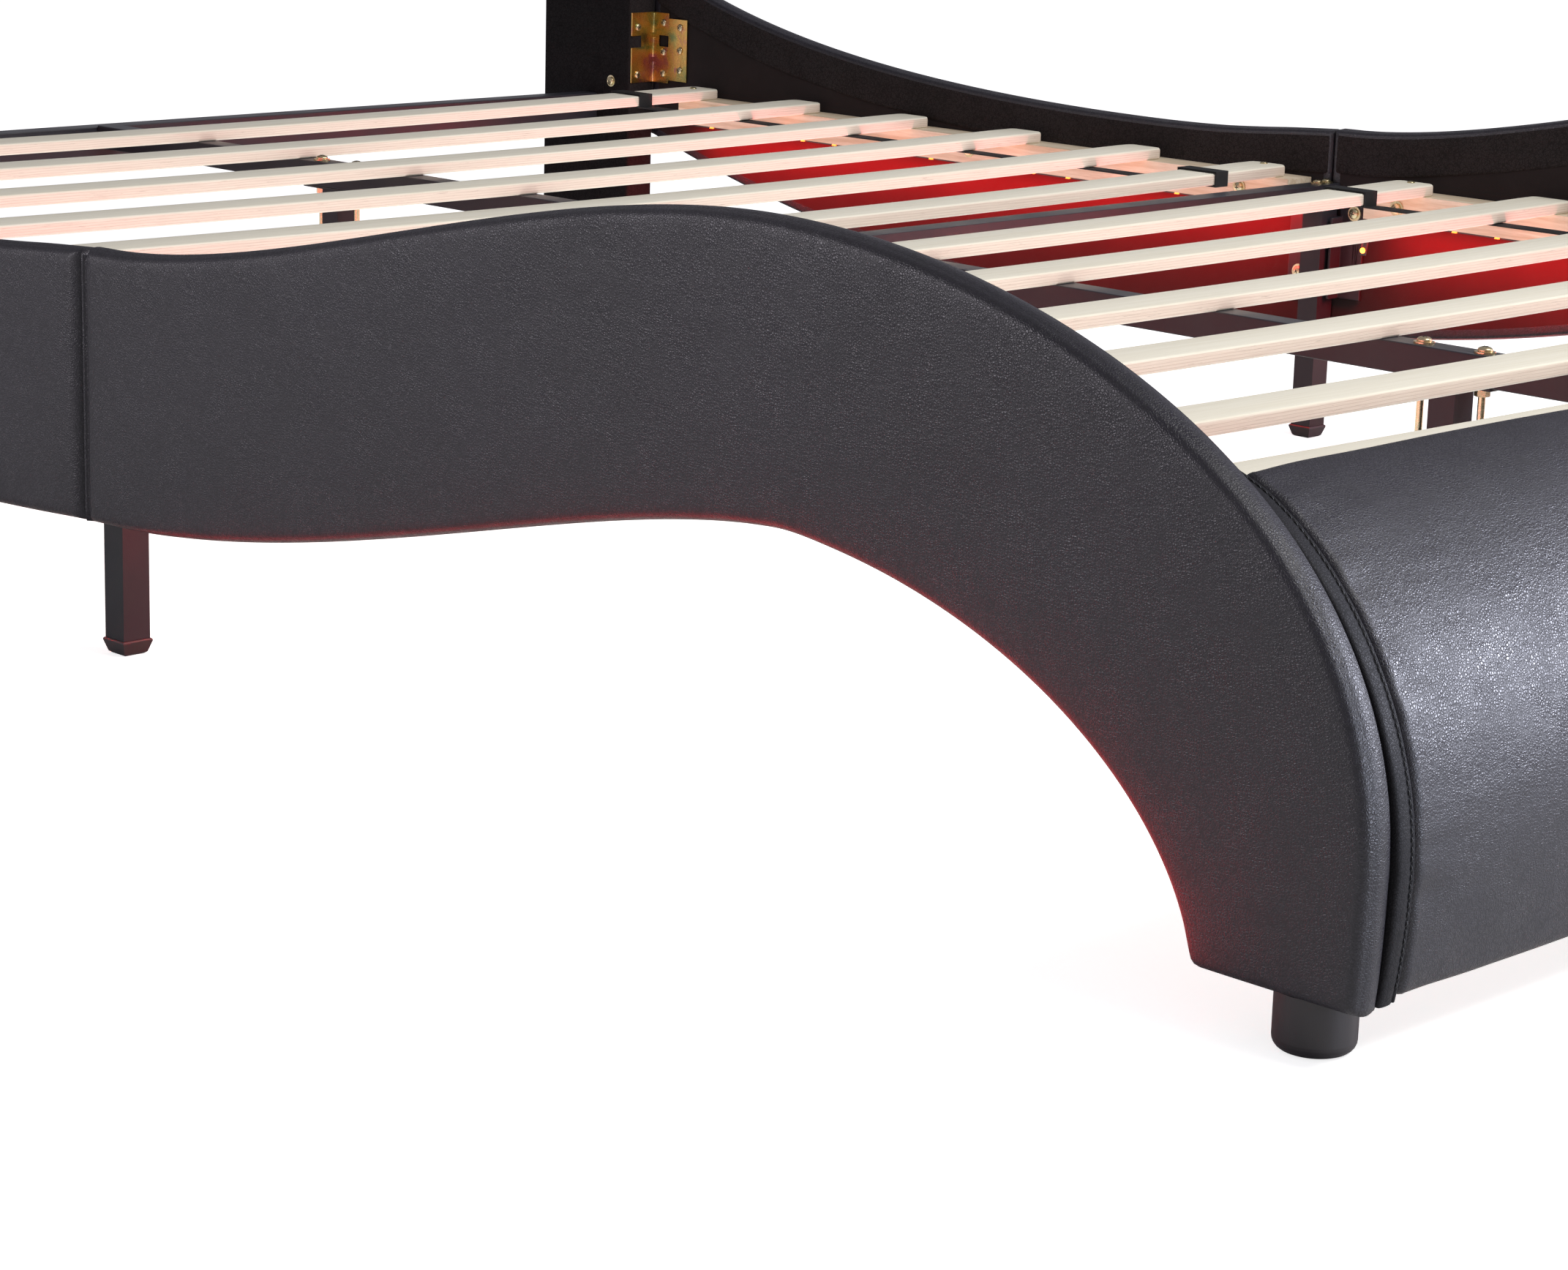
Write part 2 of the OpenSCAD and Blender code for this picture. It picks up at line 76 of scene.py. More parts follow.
# ---------------------------------------------------------------- camera
def make_camera():
    """The photo's viewpoint, worked out from the bed's long straight edges."""
    place = Vector((-2.465, -2.433, 0.749))
    yaw, pitch, roll = (math.radians(a) for a in (45.11, 13.82, 1.61))
    look = Vector((math.sin(yaw) * math.cos(pitch), math.cos(yaw) * math.cos(pitch), -math.sin(pitch)))
    right = Vector((math.cos(yaw), -math.sin(yaw), 0))
    up = right.cross(look)
    side = right * math.cos(roll) + up * math.sin(roll)
    top = up * math.cos(roll) - right * math.sin(roll)
    data = bpy.data.cameras.new("camera")
    data.sensor_width = 36
    data.lens = 87.34
    camera = bpy.data.objects.new("camera", data)
    bpy.context.scene.collection.objects.link(camera)
    turn = Matrix((side, top, -look)).transposed().to_4x4()
    camera.matrix_world = Matrix.Translation(place) @ turn
    bpy.context.scene.camera = camera


# ---------------------------------------------------------------- materials
class Shader:
    """A material's nodes, made in a few short calls."""

    def __init__(self, name, colour, roughness, metallic=0.0, specular=0.5):
        self.material = bpy.data.materials.new(name)
        self.material.use_nodes = True
        self.tree = self.material.node_tree
        self.bsdf = self.tree.nodes["Principled BSDF"]
        self.bsdf.inputs["Base Color"].default_value = (*colour, 1)
        self.bsdf.inputs["Roughness"].default_value = roughness
        self.bsdf.inputs["Metallic"].default_value = metallic
        self.bsdf.inputs["Specular IOR Level"].default_value = specular
        self.place = self.node("ShaderNodeTexCoord").outputs["Object"]

    def node(self, kind, **settings):
        made = self.tree.nodes.new(kind)
        for key, value in settings.items():
            setattr(made, key, value)
        return made

    def link(self, source, target):
        if isinstance(source, (int, float)):
            target.default_value = source
        elif isinstance(source, tuple):
            target.default_value = (*source, 1) if len(target.default_value) == 4 else source
        else:
            self.tree.links.new(source, target)

    def scaled(self, factors, source=None):
        made = self.node("ShaderNodeMapping")
        made.inputs["Scale"].default_value = factors
        self.link(source or self.place, made.inputs["Vector"])
        return made.outputs["Vector"]

    def noise(self, scale, detail=2.0, rough=0.5, place=None, distortion=0.0):
        made = self.node("ShaderNodeTexNoise")
        made.inputs["Scale"].default_value = scale
        made.inputs["Detail"].default_value = detail
        made.inputs["Roughness"].default_value = rough
        made.inputs["Distortion"].default_value = distortion
        self.link(place or self.place, made.inputs["Vector"])
        return made

    def voronoi(self, scale, place=None, feature="DISTANCE_TO_EDGE"):
        made = self.node("ShaderNodeTexVoronoi", feature=feature)
        made.inputs["Scale"].default_value = scale
        self.link(place or self.place, made.inputs["Vector"])
        return made.outputs["Distance"]

    def ramp(self, value, stops):
        made = self.node("ShaderNodeValToRGB")
        ramp = made.color_ramp
        while len(ramp.elements) < len(stops):
            ramp.elements.new(0.5)
        for element, (where, colour) in zip(ramp.elements, stops):
            element.position = where
            colour = (colour,) * 3 if isinstance(colour, (int, float)) else colour
            element.color = (*colour, 1)
        self.link(value, made.inputs["Fac"])
        return made.outputs["Color"]

    def math(self, operation, a, b=0.0, c=0.0):
        made = self.node("ShaderNodeMath", operation=operation)
        for value, target in zip((a, b, c), made.inputs):
            self.link(value, target)
        return made.outputs[0]

    def span(self, value, low, high, to_low, to_high):
        made = self.node("ShaderNodeMapRange")
        for name, number in (("From Min", low), ("From Max", high), ("To Min", to_low), ("To Max", to_high)):
            made.inputs[name].default_value = number
        self.link(value, made.inputs["Value"])
        return made.outputs["Result"]

    def mix(self, share, a, b, blend="MIX"):
        made = self.node("ShaderNodeMix", data_type="RGBA", blend_type=blend)
        self.link(share, made.inputs["Factor"])
        self.link(a, made.inputs[6])
        self.link(b, made.inputs[7])
        return made.outputs[2]

    def shift(self, by, strength):
        """The object's coordinates, pushed about by a colour."""
        centred = self.node("ShaderNodeVectorMath", operation="SUBTRACT")
        self.link(by, centred.inputs[0])
        centred.inputs[1].default_value = (0.5, 0.5, 0.5)
        scaled = self.node("ShaderNodeVectorMath", operation="SCALE")
        self.link(centred.outputs[0], scaled.inputs[0])
        scaled.inputs["Scale"].default_value = strength
        added = self.node("ShaderNodeVectorMath", operation="ADD")
        self.link(self.place, added.inputs[0])
        self.link(scaled.outputs[0], added.inputs[1])
        return added.outputs[0]

    def bump(self, height, distance, strength=1.0, after=None):
        made = self.node("ShaderNodeBump")
        made.inputs["Strength"].default_value = strength
        made.inputs["Distance"].default_value = distance
        self.link(height, made.inputs["Height"])
        if after is not None:
            self.link(after, made.inputs["Normal"])
        return made.outputs["Normal"]

    def set(self, name, value):
        self.link(value, self.bsdf.inputs[name])


def leather_material(name, colour, roughness, grain=1.0):
    """Faux leather: a pressed grain of about 2 mm, gathered in larger creases, with painted shade darkening
    its grooves and creases.
    """
    s = Shader(name, colour, roughness, specular=0.5)
    wander = s.noise(110, 2).outputs["Color"]
    place = s.shift(wander, 0.0022)
    pebbles = s.ramp(s.voronoi(520, place), [(0.0, 0.0), (0.10, 0.55), (0.25, 0.88), (0.45, 1.0)])
    creases = s.ramp(s.voronoi(170, place), [(0.0, 0.25), (0.05, 0.65), (0.12, 1.0)])
    patches = s.span(s.noise(30, 3).outputs["Fac"], 0.3, 0.7, 0.55, 1.0)
    relief = s.math("MULTIPLY", s.math("MULTIPLY", pebbles, creases), patches)
    soft = s.bump(s.noise(11, 3).outputs["Fac"], 0.006, 0.3)
    s.set("Normal", s.bump(relief, 0.00032 * grain, 0.7, soft))
    tone = s.mix(s.span(s.noise(6, 4).outputs["Fac"], 0.3, 0.7, 0, 1),
                 tuple(c * 0.85 for c in colour), tuple(c * 1.15 for c in colour))
    # painted shade: the base colour falls to 0.3 of itself where the grain's relief is low, in its grooves
    # and creases
    s.set("Base Color", s.mix(s.span(relief, 0.0, 0.5, 0.8, 0.0), tone, tuple(c * 0.3 for c in colour)))
    worn = s.span(s.noise(45, 3).outputs["Fac"], 0.3, 0.7, roughness - 0.04, roughness + 0.06)
    s.set("Roughness", s.math("ADD", worn, s.span(relief, 0.0, 0.6, 0.2, 0.0)))
    return s.material


def lining_material():
    """Thin non-woven cloth: pressed fibres and a faint print of dots."""
    s = Shader("lining", (0.008, 0.007, 0.0075), 0.9, specular=0.08)
    fibres = s.noise(1600, 3, 0.7, s.scaled((1, 0.35, 1))).outputs["Fac"]
    dots = s.ramp(s.voronoi(520, feature="F1"), [(0.0, 0.0), (0.45, 1.0)])
    height = s.math("MULTIPLY_ADD", dots, 0.5, fibres)
    folds = s.bump(s.noise(5, 3, 0.55, distortion=0.6).outputs["Fac"], 0.012, 0.35)
    s.set("Normal", s.bump(height, 0.0002, 0.5, folds))
    s.set("Base Color", s.mix(s.noise(12, 4).outputs["Fac"],
                              (0.0230, 0.0175, 0.0180), (0.0370, 0.0290, 0.0295)))
    s.bsdf.inputs["Sheen Weight"].default_value = 0.04
    s.bsdf.inputs["Sheen Roughness"].default_value = 0.5
    return s.material


def slat_material():
    """Pale laminated veneer: long grain on the faces and glued layers on the edges."""
    s = Shader("slat_wood", (0.66, 0.62, 0.51), 0.55, specular=0.3)
    long_grain = s.scaled((1.2, 38, 60))
    grain = s.noise(5.5, 5, 0.62, long_grain, 0.4).outputs["Fac"]
    pores = s.noise(30, 3, 0.6, s.scaled((3, 60, 60))).outputs["Fac"]
    broad = s.noise(2.2, 2, 0.5, s.scaled((0.6, 9, 9))).outputs["Fac"]
    face = s.mix(s.span(grain, 0.35, 0.68, 0, 1), (0.80, 0.765, 0.655), (0.71, 0.665, 0.545))
    face = s.mix(s.span(broad, 0.3, 0.7, 0.0, 0.45), face, (0.84, 0.81, 0.71))
    face = s.mix(s.span(pores, 0.62, 0.75, 0.0, 0.35), face, (0.52, 0.45, 0.33))
    # glued layers, seen on the long edges and the ends
    split = s.node("ShaderNodeSeparateXYZ")
    s.link(s.shift(s.noise(3.0, 2).outputs["Color"], 0.004), split.inputs[0])
    layer = s.math("FRACT", s.math("MULTIPLY", split.outputs["Z"], 1 / 0.0024))
    lines = s.ramp(layer, [(0.0, 0.35), (0.12, 1.0), (0.88, 1.0), (1.0, 0.35)])
    streak = s.noise(9, 4, 0.7, s.scaled((2.5, 20, 420))).outputs["Fac"]
    edge = s.mix(s.span(streak, 0.35, 0.7, 0, 1), (0.76, 0.67, 0.58), (0.61, 0.49, 0.41))
    edge = s.mix(s.span(lines, 0.35, 1.0, 0.6, 0.0), edge, (0.44, 0.32, 0.25))
    flaws = s.noise(7, 5, 0.75, s.scaled((3.5, 10, 260))).outputs["Fac"]
    edge = s.mix(s.span(flaws, 0.635, 0.68, 0.0, 0.9), edge, (0.14, 0.06, 0.04))
    normal = s.node("ShaderNodeSeparateXYZ")
    s.link(s.node("ShaderNodeNewGeometry").outputs["Normal"], normal.inputs[0])
    sideways = s.span(s.math("ABSOLUTE", normal.outputs["Z"]), 0.25, 0.75, 1.0, 0.0)
    s.set("Base Color", s.mix(sideways, face, edge))
    height = s.math("MULTIPLY_ADD", lines, 0.4, s.math("ADD", grain, s.math("MULTIPLY", pores, 0.6)))
    s.set("Normal", s.bump(height, 0.0004, 0.45))
    s.set("Roughness", s.span(grain, 0.3, 0.7, 0.48, 0.64))
    return s.material


def softwood_material():
    s = Shader("ledger_wood", (0.62, 0.50, 0.34), 0.6, specular=0.3)
    rings = s.noise(4, 4, 0.55, s.scaled((30, 1.0, 26)), 1.2).outputs["Fac"]
    fibre = s.noise(30, 3, 0.6, s.scaled((40, 2, 40))).outputs["Fac"]
    colour = s.mix(s.span(rings, 0.38, 0.62, 0, 1), (0.74, 0.64, 0.50), (0.60, 0.47, 0.33))
    knots = s.voronoi(3.2, s.scaled((1, 1.6, 1)), "F1")
    colour = s.mix(s.span(knots, 0.03, 0.06, 0.8, 0.0), colour, (0.20, 0.11, 0.05))
    s.set("Base Color", s.mix(s.span(fibre, 0.4, 0.7, 0.0, 0.3), colour, (0.42, 0.30, 0.18)))
    s.set("Normal", s.bump(s.math("ADD", fibre, rings), 0.0004, 0.5))
    s.set("Roughness", s.span(rings, 0.3, 0.7, 0.52, 0.7))
    return s.material


def powder_material(name, colour, roughness=0.42):
    """Powder-coated steel with a fine orange peel."""
    s = Shader(name, colour, roughness, specular=0.5)
    peel = s.noise(900, 2, 0.5).outputs["Fac"]
    broad = s.noise(18, 3).outputs["Fac"]
    s.set("Normal", s.bump(peel, 0.00015, 0.4))
    s.set("Roughness", s.span(broad, 0.3, 0.7, roughness - 0.05, roughness + 0.08))
    s.set("Base Color", s.mix(broad, tuple(c * 0.85 for c in colour), tuple(c * 1.2 for c in colour)))
    return s.material


def zinc_material(name, stops):
    """Yellow chromate over zinc, drifting between a few tints."""
    s = Shader(name, stops[1], 0.3, metallic=1.0)
    drift = s.noise(38, 3, 0.55, distortion=0.8).outputs["Fac"]
    s.set("Base Color", s.ramp(drift, list(zip((0.30, 0.43, 0.56, 0.70), stops))))
    marks = s.noise(500, 3, 0.6, s.scaled((1, 1, 6))).outputs["Fac"]
    s.set("Roughness", s.span(marks, 0.35, 0.7, 0.22, 0.42))
    s.set("Normal", s.bump(marks, 0.0001, 0.35))
    return s.material


def plastic_material():
    s = Shader("black_plastic", (0.022, 0.021, 0.024), 0.38, specular=0.5)
    spark = s.noise(1400, 2, 0.5).outputs["Fac"]
    s.set("Normal", s.bump(spark, 0.0001, 0.4))
    s.set("Roughness", s.span(s.noise(30, 3).outputs["Fac"], 0.3, 0.7, 0.33, 0.46))
    s.set("Base Color", s.mix(s.noise(20, 2).outputs["Fac"], (0.016, 0.013, 0.015), (0.026, 0.022, 0.024)))
    return s.material


def webbing_material():
    """Flat black webbing: a plain weave of fine ribs, with painted light and shade on them."""
    s = Shader("webbing", (0.012, 0.012, 0.013), 0.75, specular=0.3)
    split = s.node("ShaderNodeSeparateXYZ")
    s.link(s.place, split.inputs[0])
    across = s.math("SINE", s.math("MULTIPLY", split.outputs["X"], 2 * math.pi / 0.0014))
    along = s.math("SINE", s.math("MULTIPLY", s.math("ADD", split.outputs["Y"], split.outputs["Z"]),
                                  2 * math.pi / 0.0018))
    weave = s.math("MULTIPLY", across, along)
    s.set("Normal", s.bump(weave, 0.0003, 0.6))
    # painted light and shade: the colour is lighter on the weave's raised ribs and darker in its hollows
    s.set("Base Color", s.mix(s.span(weave, -1, 1, 0, 1), (0.007, 0.007, 0.008), (0.022, 0.022, 0.024)))
    return s.material


def light_material(name, colour, strength):
    s = Shader(name, (0.6, 0.1, 0.05), 0.3)
    s.bsdf.inputs["Emission Color"].default_value = (*colour, 1)
    s.bsdf.inputs["Emission Strength"].default_value = strength
    grain = s.noise(300, 2).outputs["Fac"]
    s.set("Normal", s.bump(grain, 0.0001, 0.3))
    s.set("Base Color", s.mix(grain, (0.5, 0.08, 0.04), (0.7, 0.14, 0.07)))
    return s.material


LEATHER = leather_material("leather", (0.0150, 0.0130, 0.0195), 0.33)
HEM_LEATHER = leather_material("hem_leather", (0.0340, 0.0275, 0.0285), 0.62, 0.5)
EDGING = leather_material("edging_leather", (0.0075, 0.0068, 0.0090), 0.5, 0.7)
POST_COVER = leather_material("post_cover", (0.0180, 0.0150, 0.0160), 0.66, 0.4)
for quiet, level in ((HEM_LEATHER, 0.14), (POST_COVER, 0.14), (EDGING, 0.2)):
    quiet.node_tree.nodes["Principled BSDF"].inputs["Specular IOR Level"].default_value = level
LINING = lining_material()
SLAT_WOOD = slat_material()
SOFTWOOD = softwood_material()
# painted shade: a near-black finish for the boxes that stand in for the shade inside the screw heads' cross
# recesses
SLOT_SHADE = powder_material("painted_slot_shade", (0.012, 0.008, 0.006), 0.6)
GLARE = light_material("glare", (1.0, 0.20, 0.02), 9.0)
STEEL = powder_material("black_steel", (0.021, 0.021, 0.028), 0.36)
ZINC = zinc_material("zinc", ((0.22, 0.26, 0.11), (0.50, 0.35, 0.11), (0.60, 0.32, 0.10), (0.44, 0.18, 0.17)))
BOLT_ZINC = zinc_material("bolt_zinc", ((0.42, 0.44, 0.30), (0.62, 0.55, 0.34), (0.66, 0.52, 0.32),
                                        (0.52, 0.46, 0.34)))
PLASTIC = plastic_material()
WEBBING = webbing_material()
THREAD = powder_material("thread", (0.010, 0.010, 0.011), 0.6)
STRIP = powder_material("strip_backing", (0.03, 0.02, 0.02), 0.4)
LAMP = light_material("lamp", (1.0, 0.16, 0.02), 5.0)


# ---------------------------------------------------------------- outlines
CORNER = 33                # an outline turns by more than this many degrees at a real corner


def outline(node, x):
    """The anticlockwise (y, z) outline of a CAD node's flat face at this x."""
    mesh = NODES[node].data
    place = [tuple(round(c, 6) for c in v.co) for v in mesh.vertices]
    after = {}
    for face in mesh.polygons:
        ring = [place[v] for v in face.vertices]
        if all(abs(p[0] - x) < 2e-5 for p in ring):
            for a, b in zip(ring, ring[1:] + ring[:1]):
                a, b = a[1:], b[1:]
                if a in after.get(b, ()):
                    after[b].remove(a)
                else:
                    after.setdefault(a, []).append(b)
    loops = []
    starts = [a for a in after if after[a]]
    for start in starts:
        loop, here = [], start
        while after.get(here):
            loop.append(here)
            here = after[here].pop()
        if len(loop) > 3:
            loops.append(np.array(loop))
    best = max(loops, key=lambda p: abs(area(p)))
    return best if area(best) > 0 else best[::-1]


def area(p):
    """An outline's area, positive if it runs anticlockwise."""
    q = np.roll(p, -1, 0)
    return float((p[:, 0] * q[:, 1] - q[:, 0] * p[:, 1]).sum() / 2)


def turn_at(p, i):
    """How many degrees an outline turns at its point i."""
    a, b, c = p[i - 1], p[i], p[(i + 1) % len(p)]
    u, v = b - a, c - b
    return abs(math.degrees(math.atan2(u[0] * v[1] - u[1] * v[0], u @ v)))


def smooth(p, step, closed=True):
    """The outline again, as a smooth curve through its points with its real corners kept."""
    n = len(p)
    sharp = [turn_at(p, i) > CORNER for i in range(n)]
    if not closed:
        sharp[0] = sharp[-1] = True
    out = []
    for i in range(n if closed else n - 1):
        a, b = p[i], p[(i + 1) % n]
        # a cubic through a and b, its slopes taken from the points before and beyond
        before = 2 * a - b if sharp[i] else p[i - 1]
        beyond = 2 * b - a if sharp[(i + 1) % n] else p[(i + 2) % n]
        size = np.linalg.norm(b - a)
        ta = (b - before) * size / (size + np.linalg.norm(a - before))
        tb = (beyond - a) * size / (np.linalg.norm(beyond - b) + size)
        count = max(1, math.ceil(size / step))
        for k in range(count):
            t = k / count
            out.append((2 * t**3 - 3 * t**2 + 1) * a + (t**3 - 2 * t**2 + t) * ta
                       + (3 * t**2 - 2 * t**3) * b + (t**3 - t**2) * tb)
    if not closed:
        out.append(p[-1])
    return np.array(out)


def inward(p):
    """Unit normals that point into an anticlockwise outline."""
    d = np.roll(p, -1, 0) - np.roll(p, 1, 0)
    n = np.stack([-d[:, 1], d[:, 0]], 1)
    return n / np.linalg.norm(n, axis=1)[:, None]


def distance(points, p, closed=True):
    """How far each point is from an outline."""
    a = p if closed else p[:-1]
    b = np.roll(p, -1, 0) if closed else p[1:]
    ab = b - a
    size = (ab**2).sum(1) + 1e-18
    best = np.full(len(points), 1e9)
    for chunk in range(0, len(points), 2000):
        q = points[chunk:chunk + 2000, None, :]
        t = np.clip(((q - a) * ab).sum(2) / size, 0, 1)
        gap = np.linalg.norm(q - a - t[:, :, None] * ab, axis=2)
        best[chunk:chunk + 2000] = gap.min(1)
    return best


def inside(points, p):
    """Which points lie inside an outline."""
    q = np.roll(p, -1, 0)
    y, z = points[:, 0][:, None], points[:, 1][:, None]
    crosses = (p[:, 1] > z) != (q[:, 1] > z)
    where = p[:, 0] + (z - p[:, 1]) * (q[:, 0] - p[:, 0]) / (q[:, 1] - p[:, 1] + 1e-18)
    return (crosses & (y < where)).sum(1) % 2 == 1


def fill(p, rings, grid):
    """Points and triangles that fill an outline, closely along its rim and on a grid inside it."""
    n = inward(p)
    points = [p]
    for e in rings:
        ring = p + n * e
        keep = inside(ring, p) & (distance(ring, p) > 0.93 * e)
        points.append(ring[keep])
    low, high = p.min(0), p.max(0)
    ys = np.arange(low[0] + grid / 2, high[0], grid)
    zs = np.arange(low[1] + grid / 2, high[1], grid)
    mesh = np.array([(y + (grid / 2 if k % 2 else 0), z) for k, z in enumerate(zs) for y in ys])
    keep = inside(mesh, p) & (distance(mesh, p) > (rings[-1] if rings else 0) + grid * 0.55)
    points.append(mesh[keep])
    everything = np.vstack(points)
    count = len(p)
    made = delaunay_2d_cdt([Vector(q) for q in everything], [], [list(range(count))], 1, 1e-7)
    return np.array([tuple(v) for v in made[0]]), [tuple(f) for f in made[2]]


# ---------------------------------------------------------------- meshes
EDGE_CROWN = 1.4 * MM      # the padded edges swell out this far
FILL_GRID = 16 * MM        # spacing of the points inside a large flat face
CUBOID_FACES = ((0, 3, 2, 1), (4, 5, 6, 7), (0, 1, 5, 4), (1, 2, 6, 5), (2, 3, 7, 6), (3, 0, 4, 7))


def add(name, points, faces, material, smooth_shaded=True):
    mesh = bpy.data.meshes.new(name)
    mesh.from_pydata([tuple(map(float, p)) for p in points], [], [list(map(int, f)) for f in faces])
    mesh.validate()
    mesh.polygons.foreach_set("use_smooth", [smooth_shaded] * len(mesh.polygons))
    mesh.materials.append(material)
    made = bpy.data.objects.new(name, mesh)
    bpy.context.scene.collection.objects.link(made)
    return made


def finished(piece, slot, *nodes):
    """Rides the piece on the bed, in place of these CAD nodes."""
    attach(piece, "root")
    if nodes:
        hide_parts(*nodes)
    return piece


def mirrored(points, faces):
    return [(-p[0], p[1], p[2]) for p in points], [tuple(reversed(f)) for f in faces]


def grid_faces(rows, columns, closed=False, first=0):
    """Four-sided faces between neighbouring rows of points."""
    faces = []
    for r in range(rows - 1):
        for c in range(columns if closed else columns - 1):
            d = (c + 1) % columns
            a = first + r * columns
            faces.append((a + c, a + d, a + columns + d, a + columns + c))
    return faces


def drop(d, radius):
    """How far a rounded edge falls away at distance d from it."""
    d = np.clip(d, 0, radius)
    return radius - np.sqrt(np.maximum(radius**2 - (radius - d) ** 2, 0))


def wrinkle(points, scale, seed):
    """Smooth noise over flat points, between -1 and 1."""
    return np.array([noise.noise(Vector((p[0] * scale, p[1] * scale, seed))) for p in points])


def upholstered(p, x_out, x_in, soft, back_soft, seams, seed, crown=1.2 * MM):
    """A board's leather cover: a full outer face with soft edges, its edge walls and a turned-in back rim."""
    rings = [soft * k for k in (0.06, 0.2, 0.42, 0.7, 1.0)] + [soft * 1.7, soft * 2.8]
    flat, triangles = fill(p, rings, FILL_GRID)
    gap = distance(flat, p)
    depth = drop(gap, soft)
    swollen = np.ones(len(p))
    for y, radius in seams:
        # two covers meet at y, where the edge is rounded by this radius and doesn't swell
        at_seam = np.abs(p[:, 0] - y) < 0.1 * MM
        swollen[at_seam] = 0
        near = np.abs(flat[:, 0] - y)
        gap_other = distance(flat, p[~at_seam], closed=False)
        edge = np.maximum(drop(gap_other, soft), drop(near, radius))
        depth = np.where(near < 2 * soft, edge, depth)
    swell = crown * (1 - np.exp(-gap / (28 * MM))) - 0.7 * MM * np.exp(-gap / (11 * MM))
    ripple = wrinkle(flat, 7, seed) * 0.5 * MM + wrinkle(flat, 22, seed + 3) * 0.15 * MM
    ripple *= np.clip(gap / (20 * MM), 0, 1)
    outward = 1 if x_out > x_in else -1
    points = [(x_out + outward * (swell[i] + ripple[i] - depth[i]), q[0], q[1]) for i, q in enumerate(flat)]
    faces = list(triangles)
    n = inward(p)
    count = len(p)
    x_near, x_far = x_out - outward * soft, x_in + outward * back_soft
    profile = [(-EDGE_CROWN * math.sin(math.pi * t), x_near + (x_far - x_near) * t)
               for t in (0.15, 0.32, 0.5, 0.68, 0.85)]
    profile += [(0.0, x_far)]
    profile += [(back_soft * (1 - math.cos(a)), x_in + outward * back_soft * (1 - math.sin(a)))
                for a in (math.radians(k) for k in (22, 45, 67, 90))]
    profile += [(back_soft + 9 * MM, x_in + outward * 1.6 * MM)]
    first = 0
    for e, x in profile:
        start = len(points)
        for i in range(count):
            q = p[i] + n[i] * (e * swollen[i] if e < 0 else e)
            points.append((x, q[0], q[1]))
        for i in range(count):
            j = (i + 1) % count
            faces.append((first + i, start + i, start + j, first + j))
        first = start
    return points, faces


def oriented(points, faces, outward):
    """Faces turned so that the biggest flat side looks outward along X."""
    a, b, c = (np.array(points[k]) for k in faces[len(faces) // 3][:3])
    if np.cross(b - a, c - a)[0] * outward < 0:
        return [tuple(reversed(f)) for f in faces]
    return faces


def both_sides(name, node, points, faces, material, slot):
    """The piece on the right and its mirror image on the left."""
    right = add(name + "_right", points, faces, material)
    finished(right, slot, node.replace("SIDE", "right"))
    left = add(name + "_left", *mirrored(points, faces), material)
    finished(left, slot, node.replace("SIDE", "left"))
    return right, left


def tidy_normals(piece):
    """Makes a mesh's normals agree, without changing its shape."""
    work = bmesh.new()
    work.from_mesh(piece.data)
    bmesh.ops.recalc_face_normals(work, faces=work.faces)
    work.to_mesh(piece.data)
    work.free()


# ---------------------------------------------------------------- rails and wings
SOFT = 6.5 * MM            # rounding of the padded outer edges
BACK_SOFT = 4 * MM         # rounding of the inner edges
SEAM_SOFT = 2.5 * MM       # rounding where a cover ends against the next
HEM = 45 * MM              # leather folded over the inner face
HEM_START = -1086 * MM     # the foot half's hem begins here
RAIL_STEP = 5 * MM         # spacing of the points along the outlines
RAIL_TOP = 250 * MM        # above this, the points at the seam belong to a rail's top
# by the seam the covers are drawn up to meet: over this length of each half, and this far
DRAWN_UP = {"foot": (30 * MM, 1.05 * MM), "head": (150 * MM, 3 * MM)}


def make_rails():
    """The leather covers of the side rails' halves; the head half's is softly rounded at the seam."""
    for half, seams, seed in (("foot", [(-0.5 * MM, SEAM_SOFT)], 1.0),
                              ("head", [(0.5 * MM, 15 * MM), (POST_Y, SEAM_SOFT)], 2.0)):
        p = smooth(outline("rail_right_" + half, X_OUT), RAIL_STEP)
        run, rise = DRAWN_UP[half]
        p[:, 1] += rise * np.clip(1 - np.abs(p[:, 0]) / run, 0, 1) * (p[:, 1] > RAIL_TOP)
        points, faces = upholstered(p, X_OUT, X_IN, SOFT, BACK_SOFT, seams, seed)
        pair = both_sides("rail_cover_" + half, "rail_SIDE_" + half, points, faces, LEATHER, "leather")
        for piece in pair:
            tidy_normals(piece)
        make_hem(half, p, seed)


def make_hem(half, p, seed):
    """The leather's edge, folded over the top and glued to the inner face."""
    n = inward(p)
    low, high = (HEM_START, -1 * MM) if half == "foot" else (1 * MM, POST_Y - 1 * MM)
    top = [i for i in range(len(p)) if n[i][1] < -0.35 and low <= p[i][0] <= high]
    top.sort(key=lambda i: p[i][0])
    rows = []
    for i in top:
        y, z = p[i]
        width = HEM + 2.0 * MM * noise.noise(Vector((y * 9, seed, 0)))
        lift = 0.35 * MM * noise.noise(Vector((y * 14, seed, 5)))
        row = [(X_IN + 2.2 * MM, 1.0 * MM), (X_IN + 0.9 * MM, 2.6 * MM), (X_IN + 0.2 * MM, 6 * MM)]
        row += [(X_IN + 0.15 * MM + lift * 0.3, width * t) for t in (0.3, 0.5, 0.7, 0.9)]
        row += [(X_IN + 0.1 * MM, width - 2 * MM), (X_IN + 0.45 * MM, width - 0.5 * MM),
                (X_IN + 1.5 * MM, width)]
        rows.append([(x, y, z - fall) for x, fall in row])
    points = [q for row in rows for q in row]
    faces = grid_faces(len(rows), len(rows[0]))
    both_sides("rail_hem_" + half, "rail_SIDE_" + half, points, faces, HEM_LEATHER, "leather")


